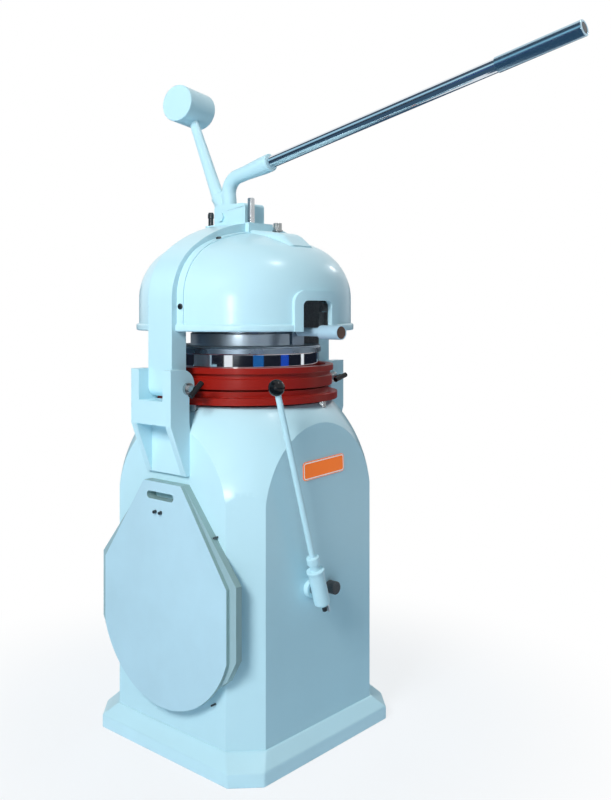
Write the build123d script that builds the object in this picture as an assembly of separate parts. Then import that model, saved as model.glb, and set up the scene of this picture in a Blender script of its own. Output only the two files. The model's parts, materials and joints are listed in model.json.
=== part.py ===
from build123d import *
import os
from math import acos, atan2, cos, degrees, hypot, pi, radians, sin, sqrt, tan

os.makedirs("parts", exist_ok=True)

# Frame: millimetres, +Z up, origin on the floor under the press axis.
# -Y is the machine's front, -X is the side that the moulding boards hang on.

# Clearances
RUN_FIT = 0.05      # radial running fit of shafts and pins that turn or slide
SEAT = 0.3          # gap between pieces that lie against each other
SCREW_FIT = 0.1     # radial play of fasteners in their holes
FAR = 2000.0        # reach of cuts that go right through

# Plinth and pedestal
PLINTH_WIDTH = 600.0
PLINTH_CORNER = 62.0
PLINTH_BAND = 34.0
PLINTH_FLOOR = 12.0
PLINTH_LEDGE = 3.0          # ledge of the plinth's top outside the pedestal
BODY_WIDTH = 540.0
BODY_CORNER = 67.0
BODY_BASE = 66.0
BODY_TOP = 868.0
BODY_WALL = 9.0
SHOULDER_START = 605.0
SHOULDER_RADIUS = 377.0
SHOULDER_MARGIN = 2.0       # the shoulder arc starts this far outside the corners
DECK_HOLE_R = 84.0
COVER_WIDTH = 330.0
COVER_LOW = 120.0
COVER_HIGH = 560.0
COVER_THICK = 3.0
COVER_LAP = 18.0
BADGE_WIDTH = 160.0
BADGE_HEIGHT = 46.0
BADGE_ROUND = 9.0
BADGE_THICK = 2.0
BADGE_X = 10.0
BADGE_Z = 710.0
BADGE_TURN = 2.5            # right end up
GLAND_INSET = 38.0         # gland from the end of the rear face
GLAND_Z = 100.0
GLAND_BORE_R = 6.5
GLAND_THREAD_R = 10.0

# Table bed and orbiting table
BED_GAP = 5.0               # the bed stands this far above the pedestal on its bolts
BED_R = 250.0
BED_FLANGE = 18.0
BED_DECK = 13.0
NECK_R = 226.0
NECK_INNER_R = 218.0
NECK_RISE = 14.0
BED_HOLE_R = 50.0
BED_BOLT_PCR = 236.0
BED_BOLT_TURN = 12.0
BED_BOLT_COUNT = 4
BED_BOLT_HEX_R = 11.0
BED_BOLT_HIGH = 17.0        # hexagon between its spot face and the bed
SPOT_FACE_R = 13.0
BOLT_PAD_R = 17.0
BED_STUD_R = 5.0
BED_STUD_LOW = 14.0
BED_STUD_HIGH = 9.0
ECCENTRIC = 9.0
TABLE_FLOOR_R = 205.0
TABLE_SKIRT_R = 230.0
TABLE_WAIST_R = 225.0
TABLE_RIM_R = 233.0
TABLE_INNER_R = 212.0
TABLE_FLOOR = 18.0
TABLE_ABOVE_NECK = 4.0
SKIRT_PLATE = 4.0           # thickness between the skirt's underside and the floor
SKIRT_HEIGHT = 27.0
WAIST_HEIGHT = 12.0
RIM_HEIGHT = 16.0
PLATE_R = 211.0
PLATE_THICK = 6.0
CRANK_X = 150.0
CRANK_JOURNAL_R = 10.0
CRANK_PIN_R = 8.0
CRANK_DISC_R = 22.0
CRANK_BOSS_R = 20.0
CRANK_BOSS_LOW = 12.0
CRANK_BOSS_ROOM = 3.0

# Press head
RING_R = 197.0
RING_WALL = 10.0
RING_GAP = 19.0             # press ring above the moulding plate at rest
RING_HEIGHT = 59.0
RING_FLANGE_R = 205.0
RING_FLANGE = 15.0
DRUM_R = 150.0
DRUM_WALL = 5.5
DRUM_FLANGE_R = 203.0
DRUM_FLANGE = 4.0
DRUM_HEIGHT = 36.0
DRUM_LID = 10.0
SPIGOT_R = 120.0
SPIGOT_RISE = 10.0
LOCK_RING_R = 146.0
LOCK_RING_THICK = 8.7
LOCK_TURN = -6.0            # lock handle and window, degrees from the front towards the boards
LOCK_TAB_HALF = 20.0
LOCK_TAB_REACH = 214.0
LOCK_TAB_START = 135.0
LOCK_LEG = 28.0
LOCK_LEG_THICK = 13.0
LOCK_STEM_R = 11.0
LOCK_GRIP_R = 17.5
LOCK_GRIP_START = 299.0
LOCK_GRIP_LENGTH = 71.0
LOCK_AXIS_UP = 6.0          # stem axis above the drum's lid
BLADE = 3.0
BLADE_GAP = 1.0             # pistons to blades
KNIFE_RADII = (70.0, 128.0)
KNIFE_REACH = 186.0
KNIFE_COUNTS = (4, 10, 16)
KNIFE_TOP = 1000.0
KNIFE_HUB_R = 20.0
PISTON_HEAD = 12.0
PISTON_ROD_R = 6.0
PISTON_ROD_RADII = (44.0, 99.0, 137.0)
RAM_R = 20.0
RAM_TOP = 1396.0

# Arch, dome and brackets
LEG_OUT = 301.0
LEG_WIDE = 46.0
ARCH_HALF = 45.0
ARCH_SPRING = 1135.0
ARCH_HAUNCH_R = 165.0
ARCH_TURN = 55.0            # the haunch arc turns this far before the crown arc
PIN_Z = 916.0
PIN_R = 10.0
CROWN_PAD_X = 46.0
CROWN_PAD_FRONT = -58.0
CROWN_PAD_REAR = 112.0
CROWN_Z = 1343.0
RAM_BOSS_R = 45.0
BUSH_R = 28.0
BUSH_LONG = 70.0
BUSH_COVER = 43.0           # crown above the ram's guide bush
DOME_R = 287.0
DOME_SPRING = 1140.0
DOME_HAUNCH_R = 150.0
DOME_TURN = 65.0
DOME_SHELL = 6.0
DOME_RIM_Z = 1056.0
RIM_LIP = 7.0
RIM_LIP_HEIGHT = 18.0
RIM_ROUND = 5.0
WINDOW_HALF = 48.0
WINDOW_SHIFT = -5.0         # window from the handle's middle place
WINDOW_TOP = 1133.0
LIP_WIDE = 24.0
LIP_PROUD = 9.0
SHELL_GAP = 0.5             # shells to the arch
SEAM_WIDE = 20.0            # raised edge of the shells along the arch
SEAM_PROUD = 2.5
BOSS_HALF = 46.0
BOSS_ROUND = 16.0
BOSS_BEND = 70.0
BOSS_TOP = ((-50.0, 1325.0), (-165.0, 1309.0), (-207.0, 1276.0))
BOSS_LOW = 1240.0
CROWN_BOLT_Y = -119.0
CROWN_BOLT_R = 6.0
CROWN_BOLT_HEX_R = 11.5
CROWN_BOLT_HEAD = 18.0
STOP_PIN_X = -26.0
STOP_PIN_Y = -46.0
STOP_PIN_R = 9.5
STOP_PIN_TOP = 1410.0
OIL_CUP_X = -36.0
OIL_CUP_Y = 101.0
OIL_CUP_TOP = 1380.0
SCREW_Y = 57.0
SCREW_LOW_Z = 1118.0
SCREW_HIGH_R = 165.0
SCREW_HEAD_R = 7.0
BRACKET_OUT = 331.0
BRACKET_HALF = 76.0
RIB_THICK = 20.0
RIB_FOOT = 11.0
CHEEK_GAP = 0.5
BLOCK_LOW = 827.0
BLOCK_HIGH = 886.0
CHEEK_TOP = 963.0
RIB_LOW = 701.0
EAR_X = 255.0               # cheek's inner edge at the pin
EAR_R = 38.0
WAIST_X = 271.0             # cheek's inner edge below the pin
WING_REACH = 24.0
WING_TURNS = (40.0, -15.0)    # left and right pin, about their own axes
CLIP_WIRE_R = 1.6
CLIP_RING_R = 12.0

# Press lever
PIVOT_Y = 58.0
PIVOT_Z = 1365.0
PIVOT_R = 12.0
GEAR_MODULE = 4.0
GEAR_TEETH = 24
GEAR_HALF = 9.0
BACKLASH = 0.35
PRESSURE_ANGLE = 20.0
GEAR_LOW = 63.0             # sector reach below and above the front, degrees
GEAR_HIGH = 35.0
CHEEK_X = 37.0
CHEEK_THICK = 16.0
LEVER_BLOCK_FRONT = -34.0
LEVER_BLOCK_REAR = 86.0
LEVER_BLOCK_TOP = 1398.0
HUB_R = 30.0
HUB_ROOM = 3.0
NECK_BAR_R = 20.0
SOCKET_R = 24.0
SOCKET_DEEP = 70.0
CROTCH = ((62.0, 1380.0), (66.0, 1438.0), (108.0, 1440.0), (98.0, 1385.0))
CROTCH_HALF = 14.0
NECK_CORNER = (71.0, 1470.0)
NECK_BEND = 45.0
SOCKET_END = (-95.0, 1503.7)
TUBE_R = 16.2
TUBE_WALL = 3.0
TUBE_END_Y = -772.3
GRIP_R = 18.0
GRIP_LENGTH = 203.0
GRIP_ROUND = 3.0
ROD_START = (96.0, 1397.0)
ROD_SOCKET = 34.0
WEIGHT_AT = (232.1, 1697.4)
ROD_R_LOW = 18.0
ROD_R_HIGH = 13.0
WEIGHT_R = 52.7
WEIGHT_LONG = 112.0
WEIGHT_TURN = 10.0          # about its rod

# Rounding lever and drive
LEVER_X = -48.0
LEVER_Z = 415.0
LEVER_STANDOFF = 36.0       # lever's middle line from the pedestal's front
LEVER_LEAN = 17.0
LEVER_BALL_AT = 535.0
LEVER_BALL_R = 20.0
LEVER_ROD_R = 7.5
LEVER_HUB_R = 20.0
LEVER_TAIL = 40.0
LEVER_TAIL_CUT = 7.0
LEVER_STEPS = ((52.0, 20.0), (58.0, 22.5), (75.0, 12.5), (93.0, 16.0))
CLUTCH_SHAFT_R = 11.0
CLUTCH_SHAFT_REAR = 58.0
BUSHING_R = 21.0
BUSHING_OUT = 14.0
BUSHING_IN = 110.0
BUSHING_WALL = 6.0
BUMPER_X = 31.0
BUMPER_DROP = 14.0          # bumper below the clutch shaft
BUMPER_R = 16.5
BUMPER_STUD_R = 5.0
BUMPER_OUT = 26.0
FORK_PIN_R = 5.0
FORK_INNER = 45.0
FORK_THICK = 12.0
FORK_BRIDGE = (12.0, 26.0)  # bridge between the arms, from the shaft's middle
COLLAR_R = 32.0
COLLAR_GROOVE_R = 24.0
COLLAR_BELOW = 19.2
COLLAR_ABOVE = 14.3
GROOVE_HALF = 6.8
SPINDLE_R = 17.5
SPINDLE_LOW = 300.0
PULLEY_Z = 356.5
PULLEY_WIDE = 44.0
DRIVEN_R = 95.0
MOTOR_PULLEY_R = 38.0
BELT_THICK = 9.0
BELT_WIDE = 15.0
MOTOR_INSET = 105.0         # motor's axis from the rear face
MOTOR_R = 75.0
MOTOR_SHIELD = 24.0
MOTOR_TOP = 300.0
MOTOR_SHAFT_R = 12.0
HOUSING_R = 55.0
HOUSING_BORE_R = 36.0
HOUSING_LOW = 470.0
HOUSING_FLANGE_R = 78.0
BEARING_WIDE = 17.0

# Moulding boards on the left side
BOARD_Y = -4.0
REAR_BOARD_THICK = 18.0
FRONT_BOARD_THICK = 10.0
BOARD_TOP_HALF = 71.0
BOARD_TOP_Z = 680.0
FRONT_HALF = 231.0
FRONT_SHOULDER_Z = 459.0
FRONT_ARC_R = 245.0
FRONT_LOW_Z = 122.0
REAR_HALF = 253.0
REAR_SHOULDER_Z = 467.0
REAR_SIDE_LOW_Z = 294.0
REAR_FOOT = ((222.0, 240.0), (150.0, 188.0), (100.0, 155.0))
SLOT_LONG = 101.0
SLOT_HIGH = 19.0
SLOT_Y = 3.0
SLOT_Z = 645.5
PEG_R = 4.0
PEG_ROOM = 0.7
PEG_Z = 605.0
PEG_YS = (20.0, -1.0)
SIDE_PEG_R = 2.5
SIDE_PEG_OUT = 14.0         # side pegs stand this far out of the pedestal
SIDE_PEG_Y = -176.0
SIDE_PEG_Z = 568.0
LOW_PEG_Y = -168.0
LOW_PEG_Z = 168.0
PEG_OUT = 8.0               # pegs reach this far past the front board

# Heights and places worked out from the sizes above
BED_Z = BODY_TOP + BED_GAP
DECK_Z = BED_Z + BED_DECK
NECK_Z = BED_Z + BED_FLANGE + NECK_RISE
SKIRT_Z = NECK_Z + TABLE_ABOVE_NECK
WAIST_Z = SKIRT_Z + SKIRT_HEIGHT
RIM_Z = WAIST_Z + WAIST_HEIGHT
RIM_TOP = RIM_Z + RIM_HEIGHT
FLOOR_TOP = SKIRT_Z + SKIRT_PLATE
FLOOR_LOW = FLOOR_TOP - TABLE_FLOOR
PLATE_TOP = FLOOR_TOP + PLATE_THICK
RING_LOW = PLATE_TOP + RING_GAP
RING_FLANGE_Z = RING_LOW + RING_HEIGHT
DRUM_LOW = RING_FLANGE_Z + RING_FLANGE
DRUM_TOP = DRUM_LOW + DRUM_HEIGHT
LID_LOW = DRUM_TOP - DRUM_LID
LOCK_AXIS_Z = DRUM_TOP + LOCK_AXIS_UP
BUSH_TOP = CROWN_Z - BUSH_COVER
RAM_BOSS_Z = BUSH_TOP - BUSH_LONG
LEG_X = LEG_OUT - LEG_WIDE / 2
FACE = BODY_WIDTH / 2
BOLT_SEAT_Z = BED_Z - BED_BOLT_HIGH
GLAND_X = FACE - BODY_CORNER - GLAND_INSET
MOTOR_Y = FACE - MOTOR_INSET
LEVER_Y = -FACE - LEVER_STANDOFF
BUMPER_Z = LEVER_Z - BUMPER_DROP
GROOVE_Z = LEVER_Z - LEVER_X * tan(radians(LEVER_LEAN))
COLLAR_LOW = GROOVE_Z - COLLAR_BELOW
COLLAR_HIGH = GROOVE_Z + COLLAR_ABOVE
PITCH_R = GEAR_MODULE * GEAR_TEETH / 2
RACK_PITCH_Y = PIVOT_Y - PITCH_R
REAR_BOARD_X = -FACE - SEAT
FRONT_BOARD_X = REAR_BOARD_X - REAR_BOARD_THICK - SEAT
PEG_END_X = FRONT_BOARD_X - FRONT_BOARD_THICK - PEG_OUT


# Shape helpers
def rod_x(radius, x0, x1, y, z):
    """Round bar along X."""
    return Pos((x0 + x1) / 2, y, z) * Rot(0, 90, 0) * Cylinder(radius, x1 - x0)


def rod_y(radius, y0, y1, x, z):
    """Round bar along Y."""
    return Pos(x, (y0 + y1) / 2, z) * Rot(90, 0, 0) * Cylinder(radius, y1 - y0)


def rod_z(radius, z0, z1, x=0.0, y=0.0):
    """Round bar along Z."""
    return Pos(x, y, (z0 + z1) / 2) * Cylinder(radius, z1 - z0)


def tube_z(outer, inner, z0, z1, x=0.0, y=0.0):
    """Round tube along Z."""
    return rod_z(outer, z0, z1, x, y) - rod_z(inner, z0 - 1, z1 + 1, x, y)


def block(x0, x1, y0, y1, z0, z1):
    """Box between two corners."""
    return Pos((x0 + x1) / 2, (y0 + y1) / 2, (z0 + z1) / 2) * Box(x1 - x0, y1 - y0, z1 - z0)


def bar(start, end, radius, end_radius=None):
    """Round or tapered bar between two points."""
    start = Vector(*start)
    way = Vector(*end) - start
    place = Plane(origin=start, z_dir=way)
    if end_radius is None:
        solid = Cylinder(radius, way.length)
    else:
        solid = Cone(radius, end_radius, way.length)
    return place * (Pos(0, 0, way.length / 2) * solid)


def turned(*points):
    """Solid turned about Z from an outline of (radius, height) points."""
    outline = [(r, 0, z) for r, z in points]
    return revolve(make_face(Polyline(*outline, close=True)), Axis.Z)


def slab_x(points, x0, x1):
    """Outline of (y, z) points drawn out along X."""
    face = make_face(Polyline(*[(x0, y, z) for y, z in points], close=True))
    return extrude(face, x1 - x0, dir=(1, 0, 0))


def slab_y(points, y0, y1):
    """Outline of (x, z) points drawn out along Y."""
    face = make_face(Polyline(*[(x, y0, z) for x, z in points], close=True))
    return extrude(face, y1 - y0, dir=(0, 1, 0))


def octagon(width, corner):
    """Points of a square with cut corners, round the origin."""
    half = width / 2
    side = half - corner
    return [(half, -side), (half, side), (side, half), (-side, half),
            (-half, side), (-half, -side), (-side, -half), (side, -half)]


def octagon_face(width, corner, z):
    """Face of a square with cut corners."""
    return make_face(Polyline(*[(x, y, z) for x, y in octagon(width, corner)], close=True))


def prism(width, corner, z0, z1):
    """Upright prism on a square with cut corners."""
    return extrude(octagon_face(width, corner, z0), z1 - z0, dir=(0, 0, 1))


def around(shape, count, start=0.0):
    """Copies of a shape turned about Z at equal steps."""
    step = 360.0 / count
    return [Rot(0, 0, start + i * step) * shape for i in range(count)]


def both_sides(shape):
    """A shape and its mirror image across the middle plane X = 0."""
    return [shape, mirror(shape, about=Plane.YZ)]


def group(shapes):
    """Several separate solids in one node."""
    return Compound(children=[s for shape in shapes for s in shape.solids()])


def inset_corner(corner, wall):
    """Corner cut of a square with cut corners after an even inset."""
    return corner - wall * (2 - sqrt(2))


# Pedestal
def shoulder(inset):
    """Turned envelope of the pedestal's rounded shoulder, moved inwards by an inset."""
    side = FACE - BODY_CORNER
    reach = hypot(FACE, side) + SHOULDER_MARGIN
    radius = SHOULDER_RADIUS - inset
    rise = BODY_TOP - SHOULDER_START
    top_r = reach - SHOULDER_RADIUS + sqrt(radius ** 2 - rise ** 2)
    low = Line((0, 0, 0), (reach - inset, 0, 0))
    wall = Line((reach - inset, 0, 0), (reach - inset, 0, SHOULDER_START))
    curve = TangentArc((reach - inset, 0, SHOULDER_START), (top_r, 0, BODY_TOP), tangent=(0, 0, 1))
    top = Line((top_r, 0, BODY_TOP), (0, 0, BODY_TOP))
    axis = Line((0, 0, BODY_TOP), (0, 0, 0))
    return revolve(make_face([low, wall, curve, top, axis]), Axis.Z)


def pedestal_outside():
    """Pedestal without its hollow."""
    return prism(BODY_WIDTH, BODY_CORNER, BODY_BASE, BODY_TOP) & shoulder(0.0)


def pedestal_hollow():
    """Space inside the pedestal."""
    width = BODY_WIDTH - 2 * BODY_WALL
    corner = inset_corner(BODY_CORNER, BODY_WALL)
    return prism(width, corner, BODY_BASE - 1, BODY_TOP - BODY_WALL) & shoulder(BODY_WALL)


def bed_bolt_places():
    """Positions of the bolts that carry the bed."""
    step = 360.0 / BED_BOLT_COUNT
    turns = [radians(BED_BOLT_TURN + i * step) for i in range(BED_BOLT_COUNT)]
    return [(BED_BOLT_PCR * cos(a), BED_BOLT_PCR * sin(a)) for a in turns]


def cover_screw_places():
    """Positions (x, z) of the rear cover's screws."""
    x = COVER_WIDTH / 2 - COVER_LAP / 2
    low = COVER_LOW + COVER_LAP / 2
    high = COVER_HIGH - COVER_LAP / 2
    return [(s * x, z) for s in (-1, 1) for z in (low, (low + high) / 2, high)]


def peg_places():
    """Positions (y, z) of the pegs: two through the boards, then one beside and one below them."""
    through = [(y, PEG_Z) for y in PEG_YS]
    beside = [(SIDE_PEG_Y, SIDE_PEG_Z), (LOW_PEG_Y, LOW_PEG_Z)]
    return through, beside


def make_plinth():
    """Plinth with a closed floor and a sloped top edge."""
    top_width = BODY_WIDTH + 2 * PLINTH_LEDGE
    band = prism(PLINTH_WIDTH, PLINTH_CORNER, 0, PLINTH_BAND)
    low = octagon_face(PLINTH_WIDTH, PLINTH_CORNER, PLINTH_BAND)
    high = octagon_face(top_width, BODY_CORNER, BODY_BASE)
    slope = loft([low, high], ruled=True)
    inner = prism(BODY_WIDTH - 4 * BODY_WALL, BODY_CORNER - BODY_WALL, PLINTH_FLOOR, BODY_BASE + 1)
    return band + slope - inner


def make_pedestal():
    """Hollow pedestal with its openings and the spot-faced bolt pads in its shoulder."""
    outside = pedestal_outside()
    body = outside - pedestal_hollow()
    for x, y in bed_bolt_places():
        body += rod_z(BOLT_PAD_R, BOLT_SEAT_Z - BED_STUD_LOW - BODY_WALL, BODY_TOP, x, y) & outside
    for x, y in bed_bolt_places():
        body -= rod_z(SPOT_FACE_R, BOLT_SEAT_Z, BED_Z, x, y)
        body -= rod_z(BED_STUD_R + SCREW_FIT, BOLT_SEAT_Z - BED_STUD_LOW, BED_Z, x, y)
    body -= rod_z(DECK_HOLE_R, BODY_TOP - 2 * BODY_WALL, BED_Z)
    for side in (-1, 1):
        body -= rod_z(CRANK_BOSS_R + CRANK_BOSS_ROOM, BODY_TOP - 2 * BODY_WALL, BED_Z, side * CRANK_X)
    half = COVER_WIDTH / 2 - COVER_LAP
    low = COVER_LOW + COVER_LAP
    high = COVER_HIGH - COVER_LAP
    body -= block(-half, half, FACE - 2 * BODY_WALL, FACE + 1, low, high)
    for x, z in cover_screw_places():
        body -= rod_y(3.0 + SCREW_FIT, FACE - 2 * BODY_WALL, FACE + 1, x, z)
    body -= rod_y(GLAND_THREAD_R, FACE - 2 * BODY_WALL, FACE + 1, GLAND_X, GLAND_Z)
    front = -FACE + 2 * BODY_WALL
    body -= rod_y(CLUTCH_SHAFT_R + BUSHING_WALL, -FACE - 1, front, LEVER_X, LEVER_Z)
    body -= rod_y(BUMPER_STUD_R, -FACE - 1, front, BUMPER_X, BUMPER_Z)
    through, beside = peg_places()
    for places, radius in ((through, PEG_R), (beside, SIDE_PEG_R)):
        for y, z in places:
            body -= rod_x(radius, -FACE - 1, -FACE + 2 * BODY_WALL, y, z)
    return body


def make_rear_cover():
    """Rear cover with louvre slots and rounded corners."""
    half = COVER_WIDTH / 2
    cover = block(-half, half, FACE, FACE + COVER_THICK, COVER_LOW, COVER_HIGH)
    cover = fillet(cover.edges().filter_by(Axis.Y), 14.0)
    for i in range(7):
        z = COVER_LOW + 60 + i * 16
        cover -= block(-70, 70, FACE - 1, FACE + COVER_THICK + 1, z, z + 6)
    for x, z in cover_screw_places():
        cover -= rod_y(3.0 + SCREW_FIT, FACE - 1, FACE + COVER_THICK + 1, x, z)
    return cover


def make_cover_screws():
    """Screws of the rear cover."""
    outside = FACE + COVER_THICK
    screws = []
    for x, z in cover_screw_places():
        head = rod_y(6.0, outside, outside + 4, x, z)
        screws.append(head + rod_y(3.0, FACE - BODY_WALL, outside, x, z))
    return group(screws)


def make_badge():
    """Plain plate on the front."""
    plate = block(BADGE_X - BADGE_WIDTH / 2, BADGE_X + BADGE_WIDTH / 2, -FACE - BADGE_THICK, -FACE,
                  BADGE_Z - BADGE_HEIGHT / 2, BADGE_Z + BADGE_HEIGHT / 2)
    plate = fillet(plate.edges().filter_by(Axis.Y), BADGE_ROUND)
    return plate.rotate(Axis((BADGE_X, 0, BADGE_Z), (0, 1, 0)), -BADGE_TURN)


def make_gland():
    """Cable gland in the rear wall, its bore closed at the inner end."""
    out = FACE
    gland = rod_y(GLAND_THREAD_R, out - BODY_WALL - 8, out + 8, GLAND_X, GLAND_Z)
    gland += rod_y(15.0, out, out + 9, GLAND_X, GLAND_Z)
    gland += rod_y(15.0, out - BODY_WALL - 6, out - BODY_WALL, GLAND_X, GLAND_Z)
    gland += rod_y(13.0, out + 9, out + 26, GLAND_X, GLAND_Z)
    return gland - rod_y(GLAND_BORE_R, out - BODY_WALL - 4, out + 27, GLAND_X, GLAND_Z)


def make_bushing():
    """Long bushing of the clutch shaft through the front wall."""
    inner_end = -FACE + BUSHING_IN
    bushing = rod_y(BUSHING_R, -FACE - BUSHING_OUT, -FACE, LEVER_X, LEVER_Z)
    bushing += rod_y(CLUTCH_SHAFT_R + BUSHING_WALL, -FACE, inner_end, LEVER_X, LEVER_Z)
    bore = CLUTCH_SHAFT_R + RUN_FIT
    return bushing - rod_y(bore, -FACE - BUSHING_OUT - 1, inner_end + 1, LEVER_X, LEVER_Z)


def make_bumper():
    """Round bumper beside the rounding lever."""
    bumper = rod_y(BUMPER_R, -FACE - BUMPER_OUT, -FACE, BUMPER_X, BUMPER_Z)
    bumper = fillet(bumper.edges().group_by(Axis.Y)[0], 3.0)
    return bumper + rod_y(BUMPER_STUD_R, -FACE, -FACE + BODY_WALL, BUMPER_X, BUMPER_Z)


# Bed, table and their drive
def make_bed():
    """Fixed bed with the neck that the table runs over and two crank bosses."""
    bed = turned((BED_HOLE_R, BED_Z), (BED_R, BED_Z), (BED_R, BED_Z + BED_FLANGE),
                 (NECK_R, BED_Z + BED_FLANGE), (NECK_R, NECK_Z), (NECK_INNER_R, NECK_Z),
                 (NECK_INNER_R, DECK_Z), (BED_HOLE_R, DECK_Z))
    for side in (-1, 1):
        bed += rod_z(CRANK_BOSS_R, BED_Z - CRANK_BOSS_LOW, BED_Z, side * CRANK_X)
        bed -= rod_z(CRANK_JOURNAL_R + RUN_FIT, BED_Z - 10, DECK_Z + 1, side * CRANK_X)
    for x, y in bed_bolt_places():
        bed -= rod_z(BED_STUD_R + SCREW_FIT, BED_Z - 1, BED_Z + BED_STUD_HIGH + 1, x, y)
    return bed


def make_bed_bolts():
    """Hexagon spacer bolts between the pedestal's spot faces and the bed."""
    bolts = []
    for x, y in bed_bolt_places():
        spacer = Pos(x, y, BOLT_SEAT_Z) * extrude(RegularPolygon(BED_BOLT_HEX_R, 6), BED_BOLT_HIGH)
        stud = rod_z(BED_STUD_R, BOLT_SEAT_Z - BED_STUD_LOW, BED_Z + BED_STUD_HIGH, x, y)
        bolts.append(spacer + stud)
    return group(bolts)


def make_housing():
    """Spindle housing hung under the bed."""
    housing = rod_z(HOUSING_R, HOUSING_LOW, BED_Z) + rod_z(HOUSING_FLANGE_R, BED_Z - 12, BED_Z)
    housing -= rod_z(SPINDLE_R + 6, HOUSING_LOW - 1, BED_Z + 1)
    housing -= rod_z(HOUSING_BORE_R, HOUSING_LOW - 1, HOUSING_LOW + BEARING_WIDE)
    return housing - rod_z(HOUSING_BORE_R, BED_Z - BEARING_WIDE, BED_Z + 1)


def make_bearings():
    """Two ball bearings of the spindle, each drawn as a ring with shield grooves."""
    rings = []
    for low in (HOUSING_LOW, BED_Z - BEARING_WIDE):
        ring = tube_z(HOUSING_BORE_R, SPINDLE_R + RUN_FIT, low, low + BEARING_WIDE)
        for z in (low, low + BEARING_WIDE):
            ring -= tube_z(HOUSING_BORE_R - 4, SPINDLE_R + 5, z - 1, z + 1)
        rings.append(ring)
    return group(rings)


def make_spindle():
    """Spindle with its key, crank disc and eccentric pin."""
    disc_low = BED_Z + 1
    disc_high = DECK_Z - 2
    spindle = rod_z(SPINDLE_R, SPINDLE_LOW, disc_low)
    spindle += rod_z(45.0, disc_low, disc_high)
    spindle += rod_z(18.0, disc_high, FLOOR_TOP - 4, ECCENTRIC)
    key_low = PULLEY_Z + PULLEY_WIDE / 2 + 1
    return spindle + block(SPINDLE_R - 4, SPINDLE_R + 3, -5, 5, key_low, COLLAR_HIGH + 8)


def make_spindle_nut():
    """Nut and washer under the driven pulley."""
    top = PULLEY_Z - PULLEY_WIDE / 2 - SEAT
    nut = Pos(0, 0, top - 16) * extrude(RegularPolygon(30.0, 6), 12)
    nut += rod_z(34.0, top - 4, top)
    return nut - rod_z(SPINDLE_R, top - 20, top + 1)


def make_collar():
    """Sliding clutch collar with the fork's groove."""
    low = GROOVE_Z - GROOVE_HALF
    high = GROOVE_Z + GROOVE_HALF
    collar = rod_z(COLLAR_R, COLLAR_LOW, COLLAR_HIGH) - tube_z(COLLAR_R + 1, COLLAR_GROOVE_R, low, high)
    collar -= rod_z(SPINDLE_R + RUN_FIT, COLLAR_LOW - 1, COLLAR_HIGH + 1)
    return collar - block(0, SPINDLE_R + 3.5, -5.3, 5.3, COLLAR_LOW - 1, COLLAR_HIGH + 1)


def pulley(radius, bore, x, y):
    """Grooved belt pulley with a web."""
    low = PULLEY_Z - PULLEY_WIDE / 2
    high = PULLEY_Z + PULLEY_WIDE / 2
    rim_low = PULLEY_Z - BELT_WIDE / 2 - 5
    rim_high = PULLEY_Z + BELT_WIDE / 2 + 5
    wheel = rod_z(radius + BELT_THICK / 2 + 1, rim_low, rim_high)
    groove = BELT_WIDE / 2 + SEAT
    wheel -= tube_z(radius + 20, radius - BELT_THICK / 2 - SEAT, PULLEY_Z - groove, PULLEY_Z + groove)
    wheel += rod_z(bore + 9, low, high)
    wheel -= rod_z(bore, low - 1, high + 1)
    return Pos(x, y, 0) * wheel


def make_driven_pulley():
    """Loose pulley on the spindle, its web lightened by holes."""
    wheel = pulley(DRIVEN_R, SPINDLE_R + RUN_FIT, 0, 0)
    for hole in around(rod_z(14.0, PULLEY_Z - 40, PULLEY_Z + 40, 58.0), 6):
        wheel -= hole
    return wheel


def belt_loop(extra, z0, z1):
    """Solid inside the belt's path at a distance from the pitch line."""
    drop = MOTOR_PULLEY_R - DRIVEN_R
    tilt = acos(-drop / MOTOR_Y)
    big = DRIVEN_R + extra
    small = MOTOR_PULLEY_R + extra
    points = [(big * sin(tilt), big * cos(tilt)), (small * sin(tilt), MOTOR_Y + small * cos(tilt)),
              (-small * sin(tilt), MOTOR_Y + small * cos(tilt)), (-big * sin(tilt), big * cos(tilt))]
    middle = make_face(Polyline(*[(x, y, z0) for x, y in points], close=True))
    loop = extrude(middle, z1 - z0, dir=(0, 0, 1))
    return loop + rod_z(big, z0, z1) + rod_z(small, z0, z1, 0, MOTOR_Y)


def make_belt():
    """Belt round the two pulleys."""
    low = PULLEY_Z - BELT_WIDE / 2
    high = PULLEY_Z + BELT_WIDE / 2
    return belt_loop(BELT_THICK / 2, low, high) - belt_loop(-BELT_THICK / 2, low - 1, high + 1)


def make_motor():
    """Upright motor with cooling ribs and end shields."""
    low = PLINTH_FLOOR + 8
    motor = rod_z(MOTOR_R - 6, low + 20, MOTOR_TOP - 20, 0, MOTOR_Y)
    motor += rod_z(MOTOR_R, low, low + MOTOR_SHIELD, 0, MOTOR_Y)
    motor += rod_z(MOTOR_R, MOTOR_TOP - MOTOR_SHIELD, MOTOR_TOP, 0, MOTOR_Y)
    rib = block(MOTOR_R - 10, MOTOR_R, -2, 2, low + 10, MOTOR_TOP - 10)
    for copy in around(rib, 24):
        motor += Pos(0, MOTOR_Y, 0) * copy
    return motor


def make_motor_plate():
    """Plate that the motor stands on."""
    half = MOTOR_R + 15
    deep = MOTOR_R + 5
    plate = block(-half, half, MOTOR_Y - deep, MOTOR_Y + deep, PLINTH_FLOOR, PLINTH_FLOOR + 8)
    return fillet(plate.edges().filter_by(Axis.Z), 12.0)


def make_motor_pulley():
    """Motor pulley on the motor's shaft, shaft and pulley in one turning piece."""
    wheel = pulley(MOTOR_PULLEY_R, MOTOR_SHAFT_R, 0, MOTOR_Y)
    return wheel + rod_z(MOTOR_SHAFT_R, MOTOR_TOP + SEAT, PULLEY_Z + PULLEY_WIDE / 2 + 6, 0, MOTOR_Y)


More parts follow.
